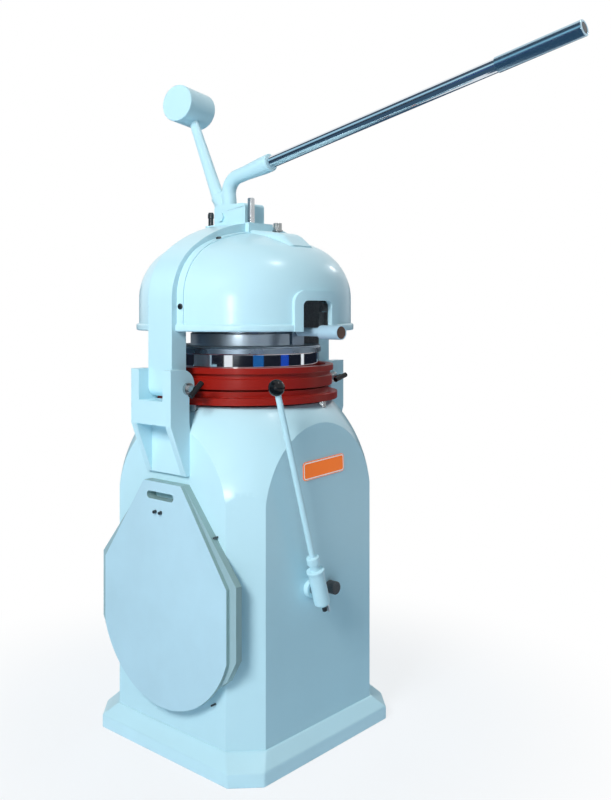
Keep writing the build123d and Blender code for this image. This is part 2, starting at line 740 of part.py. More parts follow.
def make_table():
    """Orbiting table: floor, skirt over the neck, rim and hub."""
    table = turned((0, FLOOR_LOW), (TABLE_FLOOR_R, FLOOR_LOW), (TABLE_FLOOR_R, SKIRT_Z),
                   (TABLE_SKIRT_R, SKIRT_Z), (TABLE_SKIRT_R, WAIST_Z), (TABLE_WAIST_R, WAIST_Z),
                   (TABLE_WAIST_R, RIM_Z), (TABLE_RIM_R, RIM_Z), (TABLE_RIM_R, RIM_TOP),
                   (TABLE_INNER_R, RIM_TOP), (TABLE_INNER_R, FLOOR_TOP), (0, FLOOR_TOP))
    table += rod_z(30.0, DECK_Z - 2 + SEAT, FLOOR_LOW)
    table -= rod_z(18.0 + RUN_FIT, DECK_Z - 5, FLOOR_TOP - 4 + SEAT)
    for side in (-1, 1):
        table -= rod_z(CRANK_PIN_R + RUN_FIT, FLOOR_LOW - 1, FLOOR_TOP - 4, side * CRANK_X)
    return Pos(ECCENTRIC, 0, 0) * table


def make_moulding_plate():
    """Round plate that the dough lies on."""
    plate = rod_z(PLATE_R, FLOOR_TOP, PLATE_TOP, ECCENTRIC)
    return fillet(plate.edges().group_by(Axis.Z)[-1], 2.0)


def make_guide_crank(x):
    """Guide crank: journal in the bed, disc, and a pin in the table."""
    disc_high = FLOOR_LOW - 4.5
    crank = rod_z(CRANK_JOURNAL_R, BED_Z - 10 + SEAT, DECK_Z + SEAT, x)
    crank += rod_z(CRANK_DISC_R, DECK_Z + SEAT, disc_high, x)
    return crank + rod_z(CRANK_PIN_R, disc_high, FLOOR_TOP - 4 - SEAT, x + ECCENTRIC)


# Rounding lever
def lever_point(along):
    """Point (x, z) on the rounding lever's line at a distance from its pivot."""
    lean = radians(LEVER_LEAN)
    return LEVER_X - along * sin(lean), LEVER_Z + along * cos(lean)


def lever_bar(start, end, radius):
    """Round bar along the rounding lever's line."""
    x0, z0 = lever_point(start)
    x1, z1 = lever_point(end)
    return bar((x0, LEVER_Y, z0), (x1, LEVER_Y, z1), radius)


def make_rounding_lever():
    """Rounding lever: hub on the clutch shaft, socket rings and rod."""
    lever = lever_bar(-LEVER_TAIL, LEVER_STEPS[0][0], LEVER_HUB_R)
    lever = chamfer(lever.edges().filter_by(GeomType.CIRCLE).sort_by(Axis.Z)[0], LEVER_TAIL_CUT)
    for (start, _), (end, radius) in zip(LEVER_STEPS, LEVER_STEPS[1:]):
        lever += lever_bar(start, end, radius)
    lever += lever_bar(LEVER_STEPS[-1][0], LEVER_BALL_AT - LEVER_BALL_R / 2, LEVER_ROD_R)
    return lever - make_clutch_shaft()


def make_lever_ball():
    """Ball on the end of the rounding lever."""
    x, z = lever_point(LEVER_BALL_AT)
    ball = Pos(x, LEVER_Y, z) * Sphere(LEVER_BALL_R)
    return ball - lever_bar(LEVER_BALL_AT - 2 * LEVER_BALL_R, LEVER_BALL_AT - LEVER_BALL_R / 2, LEVER_ROD_R)


def make_clutch_shaft():
    """Shaft from inside the rounding lever's hub to the shift fork."""
    return rod_y(CLUTCH_SHAFT_R, LEVER_Y - LEVER_HUB_R / 2, CLUTCH_SHAFT_REAR, LEVER_X, LEVER_Z)


def make_shift_fork():
    """Two arms on the clutch shaft, joined by a bridge, with pins in the collar's groove."""
    reach = -LEVER_X / cos(radians(LEVER_LEAN))
    end = FORK_INNER + FORK_THICK
    near, away = FORK_BRIDGE
    fork = block(LEVER_X - away, LEVER_X - near, -end, end, LEVER_Z - 8, LEVER_Z + 8)
    for low, high in ((-end, -FORK_INNER), (FORK_INNER, end)):
        fork += rod_y(CLUTCH_SHAFT_R + 8, low, high, LEVER_X, LEVER_Z)
        fork += rod_y(10.0, low, high, 0, GROOVE_Z)
        web = slab_y([(0, -10), (reach, -8), (reach, 8), (0, 10)], low, high)
        fork += Pos(LEVER_X, 0, LEVER_Z) * Rot(0, -LEVER_LEAN, 0) * web
    inner = COLLAR_GROOVE_R + 1.5
    fork += rod_y(FORK_PIN_R, inner, FORK_INNER + 1, 0, GROOVE_Z)
    fork += rod_y(FORK_PIN_R, -FORK_INNER - 1, -inner, 0, GROOVE_Z)
    return fork - rod_y(CLUTCH_SHAFT_R, -end - 1, end + 1, LEVER_X, LEVER_Z)


# Press head
def make_press_ring():
    """Polished press cylinder with its flange."""
    ring = tube_z(RING_R, RING_R - RING_WALL, RING_LOW, DRUM_LOW)
    return ring + tube_z(RING_FLANGE_R, RING_R - RING_WALL, RING_FLANGE_Z, DRUM_LOW)


def make_drum():
    """Drum on a flange over the press ring, its lid running on the ram."""
    bore = DRUM_R - DRUM_WALL
    drum = tube_z(DRUM_R, bore, DRUM_LOW, DRUM_TOP)
    drum += tube_z(DRUM_FLANGE_R, bore, DRUM_LOW, DRUM_LOW + DRUM_FLANGE)
    drum += rod_z(DRUM_R, LID_LOW, DRUM_TOP) + rod_z(SPIGOT_R, DRUM_TOP, DRUM_TOP + SPIGOT_RISE)
    return drum - rod_z(RAM_R + RUN_FIT, LID_LOW - 1, DRUM_TOP + SPIGOT_RISE + 1)


def make_knife_star():
    """Star of knives: hub, two rings and three sets of radial blades."""
    low = RING_LOW + 1
    star = rod_z(KNIFE_HUB_R, KNIFE_TOP - 12, KNIFE_TOP)
    bounds = (0.0,) + KNIFE_RADII + (KNIFE_REACH,)
    for radius in KNIFE_RADII:
        star += tube_z(radius + BLADE / 2, radius - BLADE / 2, low, KNIFE_TOP)
    for i, count in enumerate(KNIFE_COUNTS):
        blade = block(bounds[i], bounds[i + 1], -BLADE / 2, BLADE / 2, low, KNIFE_TOP)
        star = star.fuse(*around(blade, count))
    return star


def pistons(i):
    """One ring of pistons, each with its rod up to the drum's lid."""
    low = RING_LOW + 3
    bounds = (0.0,) + KNIFE_RADII + (KNIFE_REACH + BLADE / 2 + BLADE_GAP,)
    side = BLADE / 2 + BLADE_GAP
    inner = bounds[i] + side
    outer = bounds[i + 1] - side
    count = KNIFE_COUNTS[i]
    half = pi / count
    head = rod_z(outer, low, low + PISTON_HEAD) - rod_z(inner, low - 1, low + PISTON_HEAD + 1)
    for turn in (half, -half):
        way = 1 if turn > 0 else -1
        cut = block(-2 * outer, 2 * outer, -side if way > 0 else -2 * outer,
                    2 * outer if way > 0 else side, low - 1, low + PISTON_HEAD + 1)
        head -= Rot(0, 0, degrees(turn)) * cut
    if count > 2:
        head = head & block(0, 2 * outer, -outer, outer, low - 1, low + PISTON_HEAD + 1)
    piston = head + rod_z(PISTON_ROD_R, low + PISTON_HEAD, LID_LOW, PISTON_ROD_RADII[i])
    return group(around(piston, count, degrees(half)))


def make_ram():
    """Press ram with the rack cut in its rear."""
    ram = rod_z(RAM_R, KNIFE_TOP, RAM_TOP)
    rack_low = PIVOT_Z - 70.0
    tip_y = RACK_PITCH_Y + GEAR_MODULE
    root_y = RACK_PITCH_Y - 1.25 * GEAR_MODULE
    ram -= block(-30, 30, tip_y, 30, rack_low, RAM_TOP + 1)
    pitch = pi * GEAR_MODULE
    slope = tan(radians(PRESSURE_ANGLE))
    tip_half = pitch / 4 + GEAR_MODULE * slope
    root_half = pitch / 4 - 1.25 * GEAR_MODULE * slope
    for i in range(-5, 3):
        z = PIVOT_Z + i * pitch
        ram -= slab_x([(tip_y + 1, z - tip_half - slope), (root_y, z - root_half),
                       (root_y, z + root_half), (tip_y + 1, z + tip_half + slope)], -30, 30)
    return ram


def make_lock_ring():
    """Lock ring round the drum's spigot with the tab that takes the handle."""
    low = DRUM_TOP + SEAT
    high = low + LOCK_RING_THICK
    top = high + 3
    half = LOCK_TAB_HALF
    ring = tube_z(LOCK_RING_R, SPIGOT_R + SCREW_FIT, low, high)
    tab = block(-half, half, -LOCK_TAB_REACH, -LOCK_TAB_START, low, top)
    leg = block(-half, half, -LOCK_TAB_REACH, LOCK_LEG_THICK - LOCK_TAB_REACH, DRUM_TOP - LOCK_LEG, top)
    return Rot(0, 0, LOCK_TURN) * (ring + tab + leg)


def make_lock_handle():
    """Lock handle: stem from the tab through the window, and its grip."""
    stem = rod_y(LOCK_STEM_R, -LOCK_GRIP_START, -LOCK_TAB_REACH, 0, LOCK_AXIS_Z)
    grip = rod_y(LOCK_GRIP_R, -LOCK_GRIP_START - LOCK_GRIP_LENGTH, -LOCK_GRIP_START, 0, LOCK_AXIS_Z)
    grip = fillet(grip.edges().group_by(Axis.Y)[0], 4.0)
    grip = fillet(grip.edges().group_by(Axis.Y)[-1], 3.0)
    return Rot(0, 0, LOCK_TURN) * (stem + grip)


# Arch and dome
def vault(wall_r, haunch_r, spring, turn, low, offset):
    """Outline edges (half) of the dome or arch: wall, haunch arc, crown arc, at an inward offset."""
    turn = radians(turn)
    start = (wall_r - offset, 0, spring)
    hx = wall_r - haunch_r + (haunch_r - offset) * cos(turn)
    hz = spring + (haunch_r - offset) * sin(turn)
    crown_r = hx / cos(turn)
    crown = hz - crown_r * sin(turn) + crown_r
    edges = [Line((wall_r - offset, 0, low), start),
             TangentArc(start, (hx, 0, hz), tangent=(0, 0, 1)),
             TangentArc((hx, 0, hz), (0, 0, crown), tangent=(-sin(turn), 0, cos(turn)))]
    return edges, crown


def vault_face(wall_r, haunch_r, spring, turn, low, offset):
    """Half face under a vault outline."""
    edges, crown = vault(wall_r, haunch_r, spring, turn, low, offset)
    edges += [Line((0, 0, crown), (0, 0, low)), Line((0, 0, low), (wall_r - offset, 0, low))]
    return make_face(edges)


def dome_solid(offset, low=DOME_RIM_Z):
    """Turned solid under the dome's surface at an inward offset."""
    return revolve(vault_face(DOME_R, DOME_HAUNCH_R, DOME_SPRING, DOME_TURN, low, offset), Axis.Z)


def dome_crown_r():
    """Radius of the dome's crown arc."""
    turn = radians(DOME_TURN)
    hx = DOME_R - DOME_HAUNCH_R + DOME_HAUNCH_R * cos(turn)
    return hx / cos(turn)


def dome_crown_centre():
    """Height of the crown arc's centre."""
    turn = radians(DOME_TURN)
    return DOME_SPRING + DOME_HAUNCH_R * sin(turn) - dome_crown_r() * sin(turn)


def vault_slab(offset, low):
    """Arch-wide slab under the arch's outline, both halves."""
    half = vault_face(LEG_OUT, ARCH_HAUNCH_R, ARCH_SPRING, ARCH_TURN, low, offset)
    slab = extrude(half, ARCH_HALF, dir=(0, 1, 0)) + extrude(half, ARCH_HALF, dir=(0, -1, 0))
    return slab + mirror(slab, about=Plane.YZ)


def screw_frames():
    """Planes on the shells' raised edges at the screws, with Z pointing out of the shell."""
    frames = []
    wall = DOME_R + SEAM_PROUD
    crown = dome_crown_r() + SEAM_PROUD
    centre = dome_crown_centre()
    up = sqrt(crown ** 2 - SCREW_HIGH_R ** 2)
    for sx in (-1, 1):
        for sy in (-1, 1):
            x = sx * sqrt(wall ** 2 - SCREW_Y ** 2)
            frames.append(Plane(origin=(x, sy * SCREW_Y, SCREW_LOW_Z), z_dir=(x, sy * SCREW_Y, 0)))
            x = sx * sqrt(SCREW_HIGH_R ** 2 - SCREW_Y ** 2)
            frames.append(Plane(origin=(x, sy * SCREW_Y, centre + up), z_dir=(x, sy * SCREW_Y, up)))
    return frames


def make_arch():
    """Arch frame with leg ends, crown pad, ram boss and lugs for the dome's screws."""
    arch = vault_slab(0.0, PIN_Z) - vault_slab(LEG_WIDE, PIN_Z - 1)
    for side in (-1, 1):
        arch += rod_y(LEG_WIDE / 2, -ARCH_HALF, ARCH_HALF, side * LEG_X, PIN_Z)
    pad_low = CROWN_Z - LEG_WIDE + 1
    arch += block(-CROWN_PAD_X, CROWN_PAD_X, CROWN_PAD_FRONT, CROWN_PAD_REAR, pad_low, CROWN_Z)
    arch += rod_z(RAM_BOSS_R, RAM_BOSS_Z, pad_low + 5)
    inside = dome_solid(DOME_SHELL + SHELL_GAP, DOME_RIM_Z - 1)
    for frame in screw_frames():
        lug = frame * (Pos(0, 0, -14) * Cylinder(14, 28))
        arch += (lug & inside) - (frame * (Pos(0, 0, -20) * Cylinder(3 + SCREW_FIT, 60)))
    arch -= block(-2 * CROWN_PAD_X, 2 * CROWN_PAD_X, CROWN_PAD_FRONT, CROWN_PAD_REAR, CROWN_Z, FAR)
    inner = CHEEK_X - CHEEK_THICK
    arch -= rod_x(HUB_R + HUB_ROOM, -inner, inner, PIVOT_Y, PIVOT_Z)
    for side in (-1, 1):
        arch -= rod_y(PIN_R, -ARCH_HALF - 1, ARCH_HALF + 1, side * LEG_X, PIN_Z)
    arch -= rod_z(BUSH_R, RAM_BOSS_Z - 1, BUSH_TOP)
    arch -= rod_z(RAM_R + 1, BUSH_TOP - 1, CROWN_Z + 1)
    tip_r = PITCH_R + GEAR_MODULE
    arch -= block(-GEAR_HALF - 3, GEAR_HALF + 3, 0, PIVOT_Y + 12, PIVOT_Z - tip_r - 5, CROWN_Z + 1)
    arch -= rod_z(STOP_PIN_R, CROWN_Z - 20, CROWN_Z + 1, STOP_PIN_X, STOP_PIN_Y)
    return arch - rod_z(4.0, CROWN_Z - 12, CROWN_Z + 1, OIL_CUP_X, OIL_CUP_Y)


def make_stop_pin():
    """Steel pin that stops the press lever on its way down."""
    pin = rod_z(STOP_PIN_R, CROWN_Z - 20, STOP_PIN_TOP, STOP_PIN_X, STOP_PIN_Y)
    return chamfer(pin.edges().group_by(Axis.Z)[-1], 2.0)


def make_oil_cup():
    """Oil cup behind the lever block."""
    cup = rod_z(4.0, CROWN_Z - 12, CROWN_Z, OIL_CUP_X, OIL_CUP_Y)
    cup += rod_z(7.0, CROWN_Z, OIL_CUP_TOP, OIL_CUP_X, OIL_CUP_Y)
    return cup + rod_z(8.5, OIL_CUP_TOP - 16, OIL_CUP_TOP - 4, OIL_CUP_X, OIL_CUP_Y)


def make_guide_bush():
    """Bronze bush of the ram in the arch's boss."""
    return tube_z(BUSH_R, RAM_R + RUN_FIT, RAM_BOSS_Z, BUSH_TOP)


def arch_space():
    """Space that the arch and its pad take out of the dome shells."""
    gap = ARCH_HALF + SHELL_GAP
    space = block(-FAR, FAR, -gap, gap, 0, FAR)
    x = CROWN_PAD_X + SHELL_GAP
    return space + block(-x, x, CROWN_PAD_FRONT - SHELL_GAP, CROWN_PAD_REAR + SHELL_GAP, DOME_SPRING, FAR)


def dome_shell():
    """Whole dome shell with its rolled rim and the raised edges along the arch."""
    shell = dome_solid(0.0) - dome_solid(DOME_SHELL, DOME_RIM_Z - 1)
    rim = tube_z(DOME_R + RIM_LIP, DOME_R - DOME_SHELL, DOME_RIM_Z, DOME_RIM_Z + RIM_LIP_HEIGHT)
    rim = fillet(rim.edges().filter_by(GeomType.CIRCLE).sort_by(SortBy.RADIUS)[-2:], RIM_ROUND)
    edge = ARCH_HALF + SEAM_WIDE
    seam = dome_solid(-SEAM_PROUD) - dome_solid(DOME_SHELL / 2, DOME_RIM_Z - 1)
    return shell + rim + (seam & block(-FAR, FAR, -edge, edge, 0, FAR))


def shell_half(side):
    """Front (-1) or rear (+1) half of the dome shell, with its screw holes."""
    half = dome_shell() & block(-FAR, FAR, min(0, side * FAR), max(0, side * FAR), 0, FAR)
    half -= arch_space()
    for frame in screw_frames():
        half -= frame * Cylinder(3 + SCREW_FIT, 60)
    return half


def make_front_shell():
    """Front dome shell with the handle window, its lip, and the crown boss."""
    shell = shell_half(-1)
    outer = DOME_R + LIP_PROUD
    near = -DOME_R * 0.7
    lip_half = WINDOW_HALF + LIP_WIDE
    frame = block(WINDOW_SHIFT - lip_half, WINDOW_SHIFT + lip_half, -FAR, near, DOME_RIM_Z,
                  WINDOW_TOP + LIP_WIDE)
    frame = fillet(frame.edges().filter_by(Axis.Y).group_by(Axis.Z)[-1], 30.0)
    band = tube_z(outer, DOME_R - DOME_SHELL, DOME_RIM_Z - 1, WINDOW_TOP + LIP_WIDE + 1)
    opening = block(WINDOW_SHIFT - WINDOW_HALF, WINDOW_SHIFT + WINDOW_HALF, -FAR, near, DOME_RIM_Z - 10,
                    WINDOW_TOP)
    opening = fillet(opening.edges().filter_by(Axis.Y).group_by(Axis.Z)[-1], 14.0)
    turn = Rot(0, 0, LOCK_TURN)
    shell += (turn * frame) & band
    outline = list(BOSS_TOP) + [(BOSS_TOP[-1][0], BOSS_LOW), (BOSS_TOP[0][0], BOSS_LOW)]
    boss = slab_x(outline, -BOSS_HALF, BOSS_HALF)
    boss = fillet(boss.edges().filter_by(Axis.X).sort_by(Axis.Z)[-2], BOSS_BEND)
    ends = boss.edges().group_by(Axis.X)
    tops = [edge for edge in ends[0] + ends[-1] if edge.center().Z > BOSS_LOW + BOSS_ROUND]
    boss = fillet(tops, BOSS_ROUND)
    shell += boss - dome_solid(DOME_SHELL / 2, BOSS_LOW - 1) - arch_space()
    shell -= turn * opening
    return shell - rod_z(CROWN_BOLT_R, BOSS_LOW, FAR, 0, CROWN_BOLT_Y)


def crown_bolt_seat():
    """Height of the boss's top at the crown bolt."""
    (y0, z0), (y1, z1) = BOSS_TOP[:2]
    return z0 + (CROWN_BOLT_Y - y0) * (z1 - z0) / (y1 - y0)


def make_crown_bolt():
    """Hexagon bolt and washer on the dome's front boss."""
    top = crown_bolt_seat()
    bolt = rod_z(CROWN_BOLT_R, top - 18, top + 4, 0, CROWN_BOLT_Y)
    bolt += rod_z(CROWN_BOLT_HEX_R + 2.5, top + 2, top + 6, 0, CROWN_BOLT_Y)
    head = extrude(RegularPolygon(CROWN_BOLT_HEX_R, 6), CROWN_BOLT_HEAD)
    return bolt + Pos(0, CROWN_BOLT_Y, top + 6) * head


def make_dome_screws():
    """Button head screws along the seams."""
    screws = []
    for frame in screw_frames():
        head = Pos(0, 0, 2) * Cylinder(SCREW_HEAD_R, 4)
        shank = Pos(0, 0, -7) * Cylinder(3, 14)
        screws.append(frame * (head + shank))
    return group(screws)


# Brackets and pins
def make_left_bracket():
    """Bracket on the pedestal's left side that carries one arch leg between two cheeks."""
    inner = ARCH_HALF + CHEEK_GAP
    half = BRACKET_HALF
    out = BRACKET_OUT
    foot = FACE + RIB_FOOT
    ear = EAR_X + EAR_R
    cheek = [(-out, BLOCK_LOW), (-out, CHEEK_TOP), (-ear, CHEEK_TOP), (-ear, CHEEK_TOP - EAR_R),
             (-WAIST_X, CHEEK_TOP - EAR_R), (-WAIST_X, BLOCK_LOW)]
    rib = [(-FACE, RIB_LOW), (-foot, RIB_LOW), (-out, BLOCK_LOW), (-FACE, BLOCK_LOW)]
    bracket = block(-out, -WAIST_X, -half, half, BLOCK_LOW, BLOCK_HIGH)
    bracket += block(-foot + 1, -FACE, -half, half, RIB_LOW, BLOCK_LOW + 1)
    for low, high, rib_low in ((-half, -inner, -half), (inner, half, half - RIB_THICK)):
        bracket += slab_y(cheek, low, high)
        bracket += rod_y(EAR_R, low, high, -ear, CHEEK_TOP - EAR_R)
        bracket += slab_y(rib, rib_low, rib_low + RIB_THICK)
    bracket -= rod_y(PIN_R + SCREW_FIT, -2 * half, 2 * half, -LEG_X, PIN_Z)
    return bracket - pedestal_outside()


def left_pin(wing_turn):
    """Arch pin with its head, neck and wing handle in front of the bracket."""
    front = -BRACKET_HALF
    out = WING_REACH * cos(radians(wing_turn))
    up = WING_REACH * sin(radians(wing_turn))
    pin = rod_y(PIN_R, front, BRACKET_HALF + 16, -LEG_X, PIN_Z)
    pin += rod_y(15.0, front - 8, front, -LEG_X, PIN_Z)
    pin += rod_y(9.0, front - 30, front - 8, -LEG_X, PIN_Z)
    pin += bar((-LEG_X - out, front - 32, PIN_Z - up), (-LEG_X + out, front - 32, PIN_Z + up), 7.0)
    return pin - left_clip(CLIP_WIRE_R + 0.4)


def left_clip(wire_r):
    """Spring ring through the rear end of the arch pin."""
    ring = Torus(CLIP_RING_R, wire_r)
    return Pos(-LEG_X - CLIP_RING_R, BRACKET_HALF + 9, PIN_Z) * Rot(90, 0, 0) * ring


# Press lever
def involute_point(base, radius):
    """Polar angle of an involute of the base circle at a radius."""
    spread = sqrt((radius / base) ** 2 - 1)
    return spread - atan2(spread, 1)


def tooth_outline(steps=5):
    """Outline (radius, angle) of one gear tooth about its middle line."""
    base = PITCH_R * cos(radians(PRESSURE_ANGLE))
    tip = PITCH_R + GEAR_MODULE
    root = PITCH_R - 1.25 * GEAR_MODULE
    half = (pi * GEAR_MODULE / 2 - BACKLASH) / 2 / PITCH_R + involute_point(base, PITCH_R)
    radii = [base + (tip - base) * i / steps for i in range(steps + 1)]
    flank = [(root - 2, half)] + [(r, half - involute_point(base, r)) for r in radii]
    return flank + [(r, -a) for r, a in reversed(flank)]


def gear_point(radius, turn):
    """Point (y, z) at a radius and turn above the gear's front direction."""
    return PIVOT_Y - radius * cos(turn), PIVOT_Z + radius * sin(turn)


def pie(radius, low, high, half):
    """Sector about the pivot between two turns from the front, along X to both sides."""
    edge = [gear_point(radius * 1.3, radians(low + (high - low) * i / 4)) for i in range(5)]
    wedge = slab_x([(PIVOT_Y, PIVOT_Z)] + edge, -half, half)
    return wedge & rod_x(radius, -half, half, PIVOT_Y, PIVOT_Z)


def make_sector_gear():
    """Toothed sector on the pivot shaft that drives the ram's rack."""
    root = PITCH_R - 1.25 * GEAR_MODULE
    gear = pie(root, -GEAR_LOW, GEAR_HIGH, GEAR_HALF)
    gear += rod_x(HUB_R - 4, -GEAR_HALF, GEAR_HALF, PIVOT_Y, PIVOT_Z)
    step = 2 * pi / GEAR_TEETH
    for i in range(-4, 3):
        outline = [gear_point(r, a + i * step) for r, a in tooth_outline()]
        gear += slab_x(outline, -GEAR_HALF, GEAR_HALF)
    return gear - rod_x(PIVOT_R, -50, 50, PIVOT_Y, PIVOT_Z)


def lever_way():
    """Unit direction (y, z) of the straight part of the press lever, towards the grip."""
    y = SOCKET_END[0] - NECK_CORNER[0]
    z = SOCKET_END[1] - NECK_CORNER[1]
    return y / hypot(y, z), z / hypot(y, z)


def along_lever(distance):
    """Point on the press lever's straight line at a distance from the socket's end."""
    y, z = lever_way()
    return 0.0, SOCKET_END[0] + distance * y, SOCKET_END[1] + distance * z


def rod_way():
    """Unit direction (y, z) of the counterweight rod."""
    y = WEIGHT_AT[0] - ROD_START[0]
    z = WEIGHT_AT[1] - ROD_START[1]
    return y / hypot(y, z), z / hypot(y, z)


def along_rod(distance):
    """Point on the counterweight rod's line at a distance from its start."""
    y, z = rod_way()
    return 0.0, ROD_START[0] + distance * y, ROD_START[1] + distance * z


def make_press_lever():
    """Lever casting: forked hub, bent neck, tube socket and counterweight socket."""
    path = FilletPolyline((0, PIVOT_Y, PIVOT_Z), (0, *NECK_CORNER), (0, *SOCKET_END), radius=NECK_BEND)
    start = Plane(origin=path @ 0, z_dir=path % 0)
    lever = sweep(start * Circle(NECK_BAR_R), path)
    lever += bar(along_lever(-95), along_lever(-30), NECK_BAR_R, SOCKET_R)
    lever += bar(along_lever(-30), along_lever(0), SOCKET_R)
    lever += rod_x(HUB_R, -NECK_BAR_R, NECK_BAR_R, PIVOT_Y, PIVOT_Z)
    lever += bar((0, PIVOT_Y + 8, PIVOT_Z + 10), along_rod(ROD_SOCKET), NECK_BAR_R, ROD_R_LOW + 3)
    lever += slab_x(CROTCH, -CROTCH_HALF, CROTCH_HALF)
    lever = lever & block(-NECK_BAR_R - 4, NECK_BAR_R + 4, -FAR, FAR, 0, FAR)
    lever -= rod_x(HUB_R - 4 + SEAT, -GEAR_HALF - SEAT, GEAR_HALF + SEAT, PIVOT_Y, PIVOT_Z)
    lever -= pie(PITCH_R + GEAR_MODULE + 1, -GEAR_LOW - 22, GEAR_HIGH + 6, GEAR_HALF + SEAT)
    lever -= rod_x(PIVOT_R, -50, 50, PIVOT_Y, PIVOT_Z)
    lever -= bar(along_lever(-SOCKET_DEEP), along_lever(5), TUBE_R)
    return lever - make_weight_rod()


def tube_length():
    """Length of the lever tube outside its socket."""
    return (TUBE_END_Y - SOCKET_END[0]) / lever_way()[0]


def make_lever_tube():
    """Chrome tube in the lever's socket."""
    end = tube_length() + 120
    tube = bar(along_lever(-SOCKET_DEEP), along_lever(end), TUBE_R)
    return tube - bar(along_lever(-SOCKET_DEEP - 1), along_lever(end + 1), TUBE_R - TUBE_WALL)


def make_lever_grip():
    """Grip pushed over the end of the tube."""
    start = tube_length()
    grip = bar(along_lever(start), along_lever(start + GRIP_LENGTH), GRIP_R)
    grip = fillet(grip.edges().filter_by(GeomType.CIRCLE).sort_by(Axis.Z)[-1], GRIP_ROUND)
    return grip - bar(along_lever(start - 1), along_lever(start + 120), TUBE_R)


def weight_distance():
    """Distance of the counterweight's centre along its rod."""
    return hypot(WEIGHT_AT[0] - ROD_START[0], WEIGHT_AT[1] - ROD_START[1])


def make_weight_rod():
    """Tapered rod of the counterweight, stepped down in the lever's socket."""
    end = weight_distance()
    rod = bar(along_rod(ROD_SOCKET), along_rod(end - 30), ROD_R_LOW, ROD_R_HIGH)
    rod += bar(along_rod(0), along_rod(ROD_SOCKET), ROD_R_LOW - 1)
    return rod + bar(along_rod(end - 30), along_rod(end), ROD_R_HIGH)


def make_counterweight():
    """Counterweight cylinder across the rod's end."""
    weight = rod_x(WEIGHT_R, -WEIGHT_LONG / 2, WEIGHT_LONG / 2, *WEIGHT_AT)
    weight = chamfer(weight.edges().filter_by(GeomType.CIRCLE), 2.0)
    weight = weight.rotate(Axis((0, *WEIGHT_AT), (0, *rod_way())), WEIGHT_TURN)
    return weight - make_weight_rod()


def make_pivot_shaft():
    """Shaft of the press lever in the lever block's cheeks."""
    return rod_x(PIVOT_R, -CHEEK_X - 6, CHEEK_X + 6, PIVOT_Y, PIVOT_Z)


def make_lever_block():
    """Lever block: two cheeks and a front wall, open at the top and rear."""
    solid = block(-CHEEK_X, CHEEK_X, LEVER_BLOCK_FRONT, LEVER_BLOCK_REAR, CROWN_Z, LEVER_BLOCK_TOP)
    solid = fillet(solid.edges().filter_by(Axis.X).group_by(Axis.Z)[-1], 10.0)
    inside = CHEEK_X - CHEEK_THICK
    solid -= block(-inside, inside, -RAM_R - 2, LEVER_BLOCK_REAR + 1, CROWN_Z - 1, LEVER_BLOCK_TOP + 1)
    return solid - rod_x(PIVOT_R + RUN_FIT, -60, 60, PIVOT_Y, PIVOT_Z)


# Moulding boards
def peg_holes(thick_from, thick_to):
    """Holes in the boards for the pegs that pass through them."""
    through, _ = peg_places()
    return [rod_x(PEG_R + PEG_ROOM, thick_from - 1, thick_to + 1, y, z) for y, z in through]


def hand_slot(x0, x1):
    """Rounded hand slot through the boards."""
    half = SLOT_LONG / 2
    rise = SLOT_HIGH / 2
    slot = block(x0 - 1, x1 + 1, SLOT_Y - half, SLOT_Y + half, SLOT_Z - rise, SLOT_Z + rise)
    return fillet(slot.edges().filter_by(Axis.X), rise - 0.5)


def finish_board(board, x0, x1):
    """Cut the hand slot and the peg holes."""
    board -= hand_slot(x0, x1)
    for hole in peg_holes(x0, x1):
        board -= hole
    return board


def make_rear_board():
    """Rear moulding board with cut lower corners."""
    x1 = REAR_BOARD_X
    x0 = x1 - REAR_BOARD_THICK
    side = [(BOARD_TOP_HALF, BOARD_TOP_Z), (REAR_HALF, REAR_SHOULDER_Z), (REAR_HALF, REAR_SIDE_LOW_Z)]
    side += list(REAR_FOOT)
    outline = [(BOARD_Y + y, z) for y, z in side] + [(BOARD_Y - y, z) for y, z in reversed(side)]
    return finish_board(slab_x(outline, x0, x1), x0, x1)


def make_front_board():
    """Front moulding board with a round lower edge."""
    x1 = FRONT_BOARD_X
    x0 = x1 - FRONT_BOARD_THICK
    centre = FRONT_LOW_Z + FRONT_ARC_R
    low_z = centre - sqrt(FRONT_ARC_R ** 2 - FRONT_HALF ** 2)
    top = [(BOARD_TOP_HALF, BOARD_TOP_Z), (FRONT_HALF, FRONT_SHOULDER_Z), (FRONT_HALF, low_z)]
    right = [(x0, BOARD_Y - y, z) for y, z in reversed(top)]
    left = [(x0, BOARD_Y + y, z) for y, z in top]
    sides = Polyline(*right, *left)
    curve = ThreePointArc(left[-1], (x0, BOARD_Y, FRONT_LOW_Z), right[0])
    face = make_face([sides, curve])
    return finish_board(extrude(face, x1 - x0, dir=(1, 0, 0)), x0, x1)


def make_pegs():
    """Pegs in the pedestal's left wall that carry and locate the boards."""
    through, beside = peg_places()
    pegs = [rod_x(PEG_R, PEG_END_X, -FACE + BODY_WALL, y, z) for y, z in through]
    pegs += [rod_x(SIDE_PEG_R, -FACE - SIDE_PEG_OUT, -FACE + BODY_WALL, y, z) for y, z in beside]
    return group(pegs)


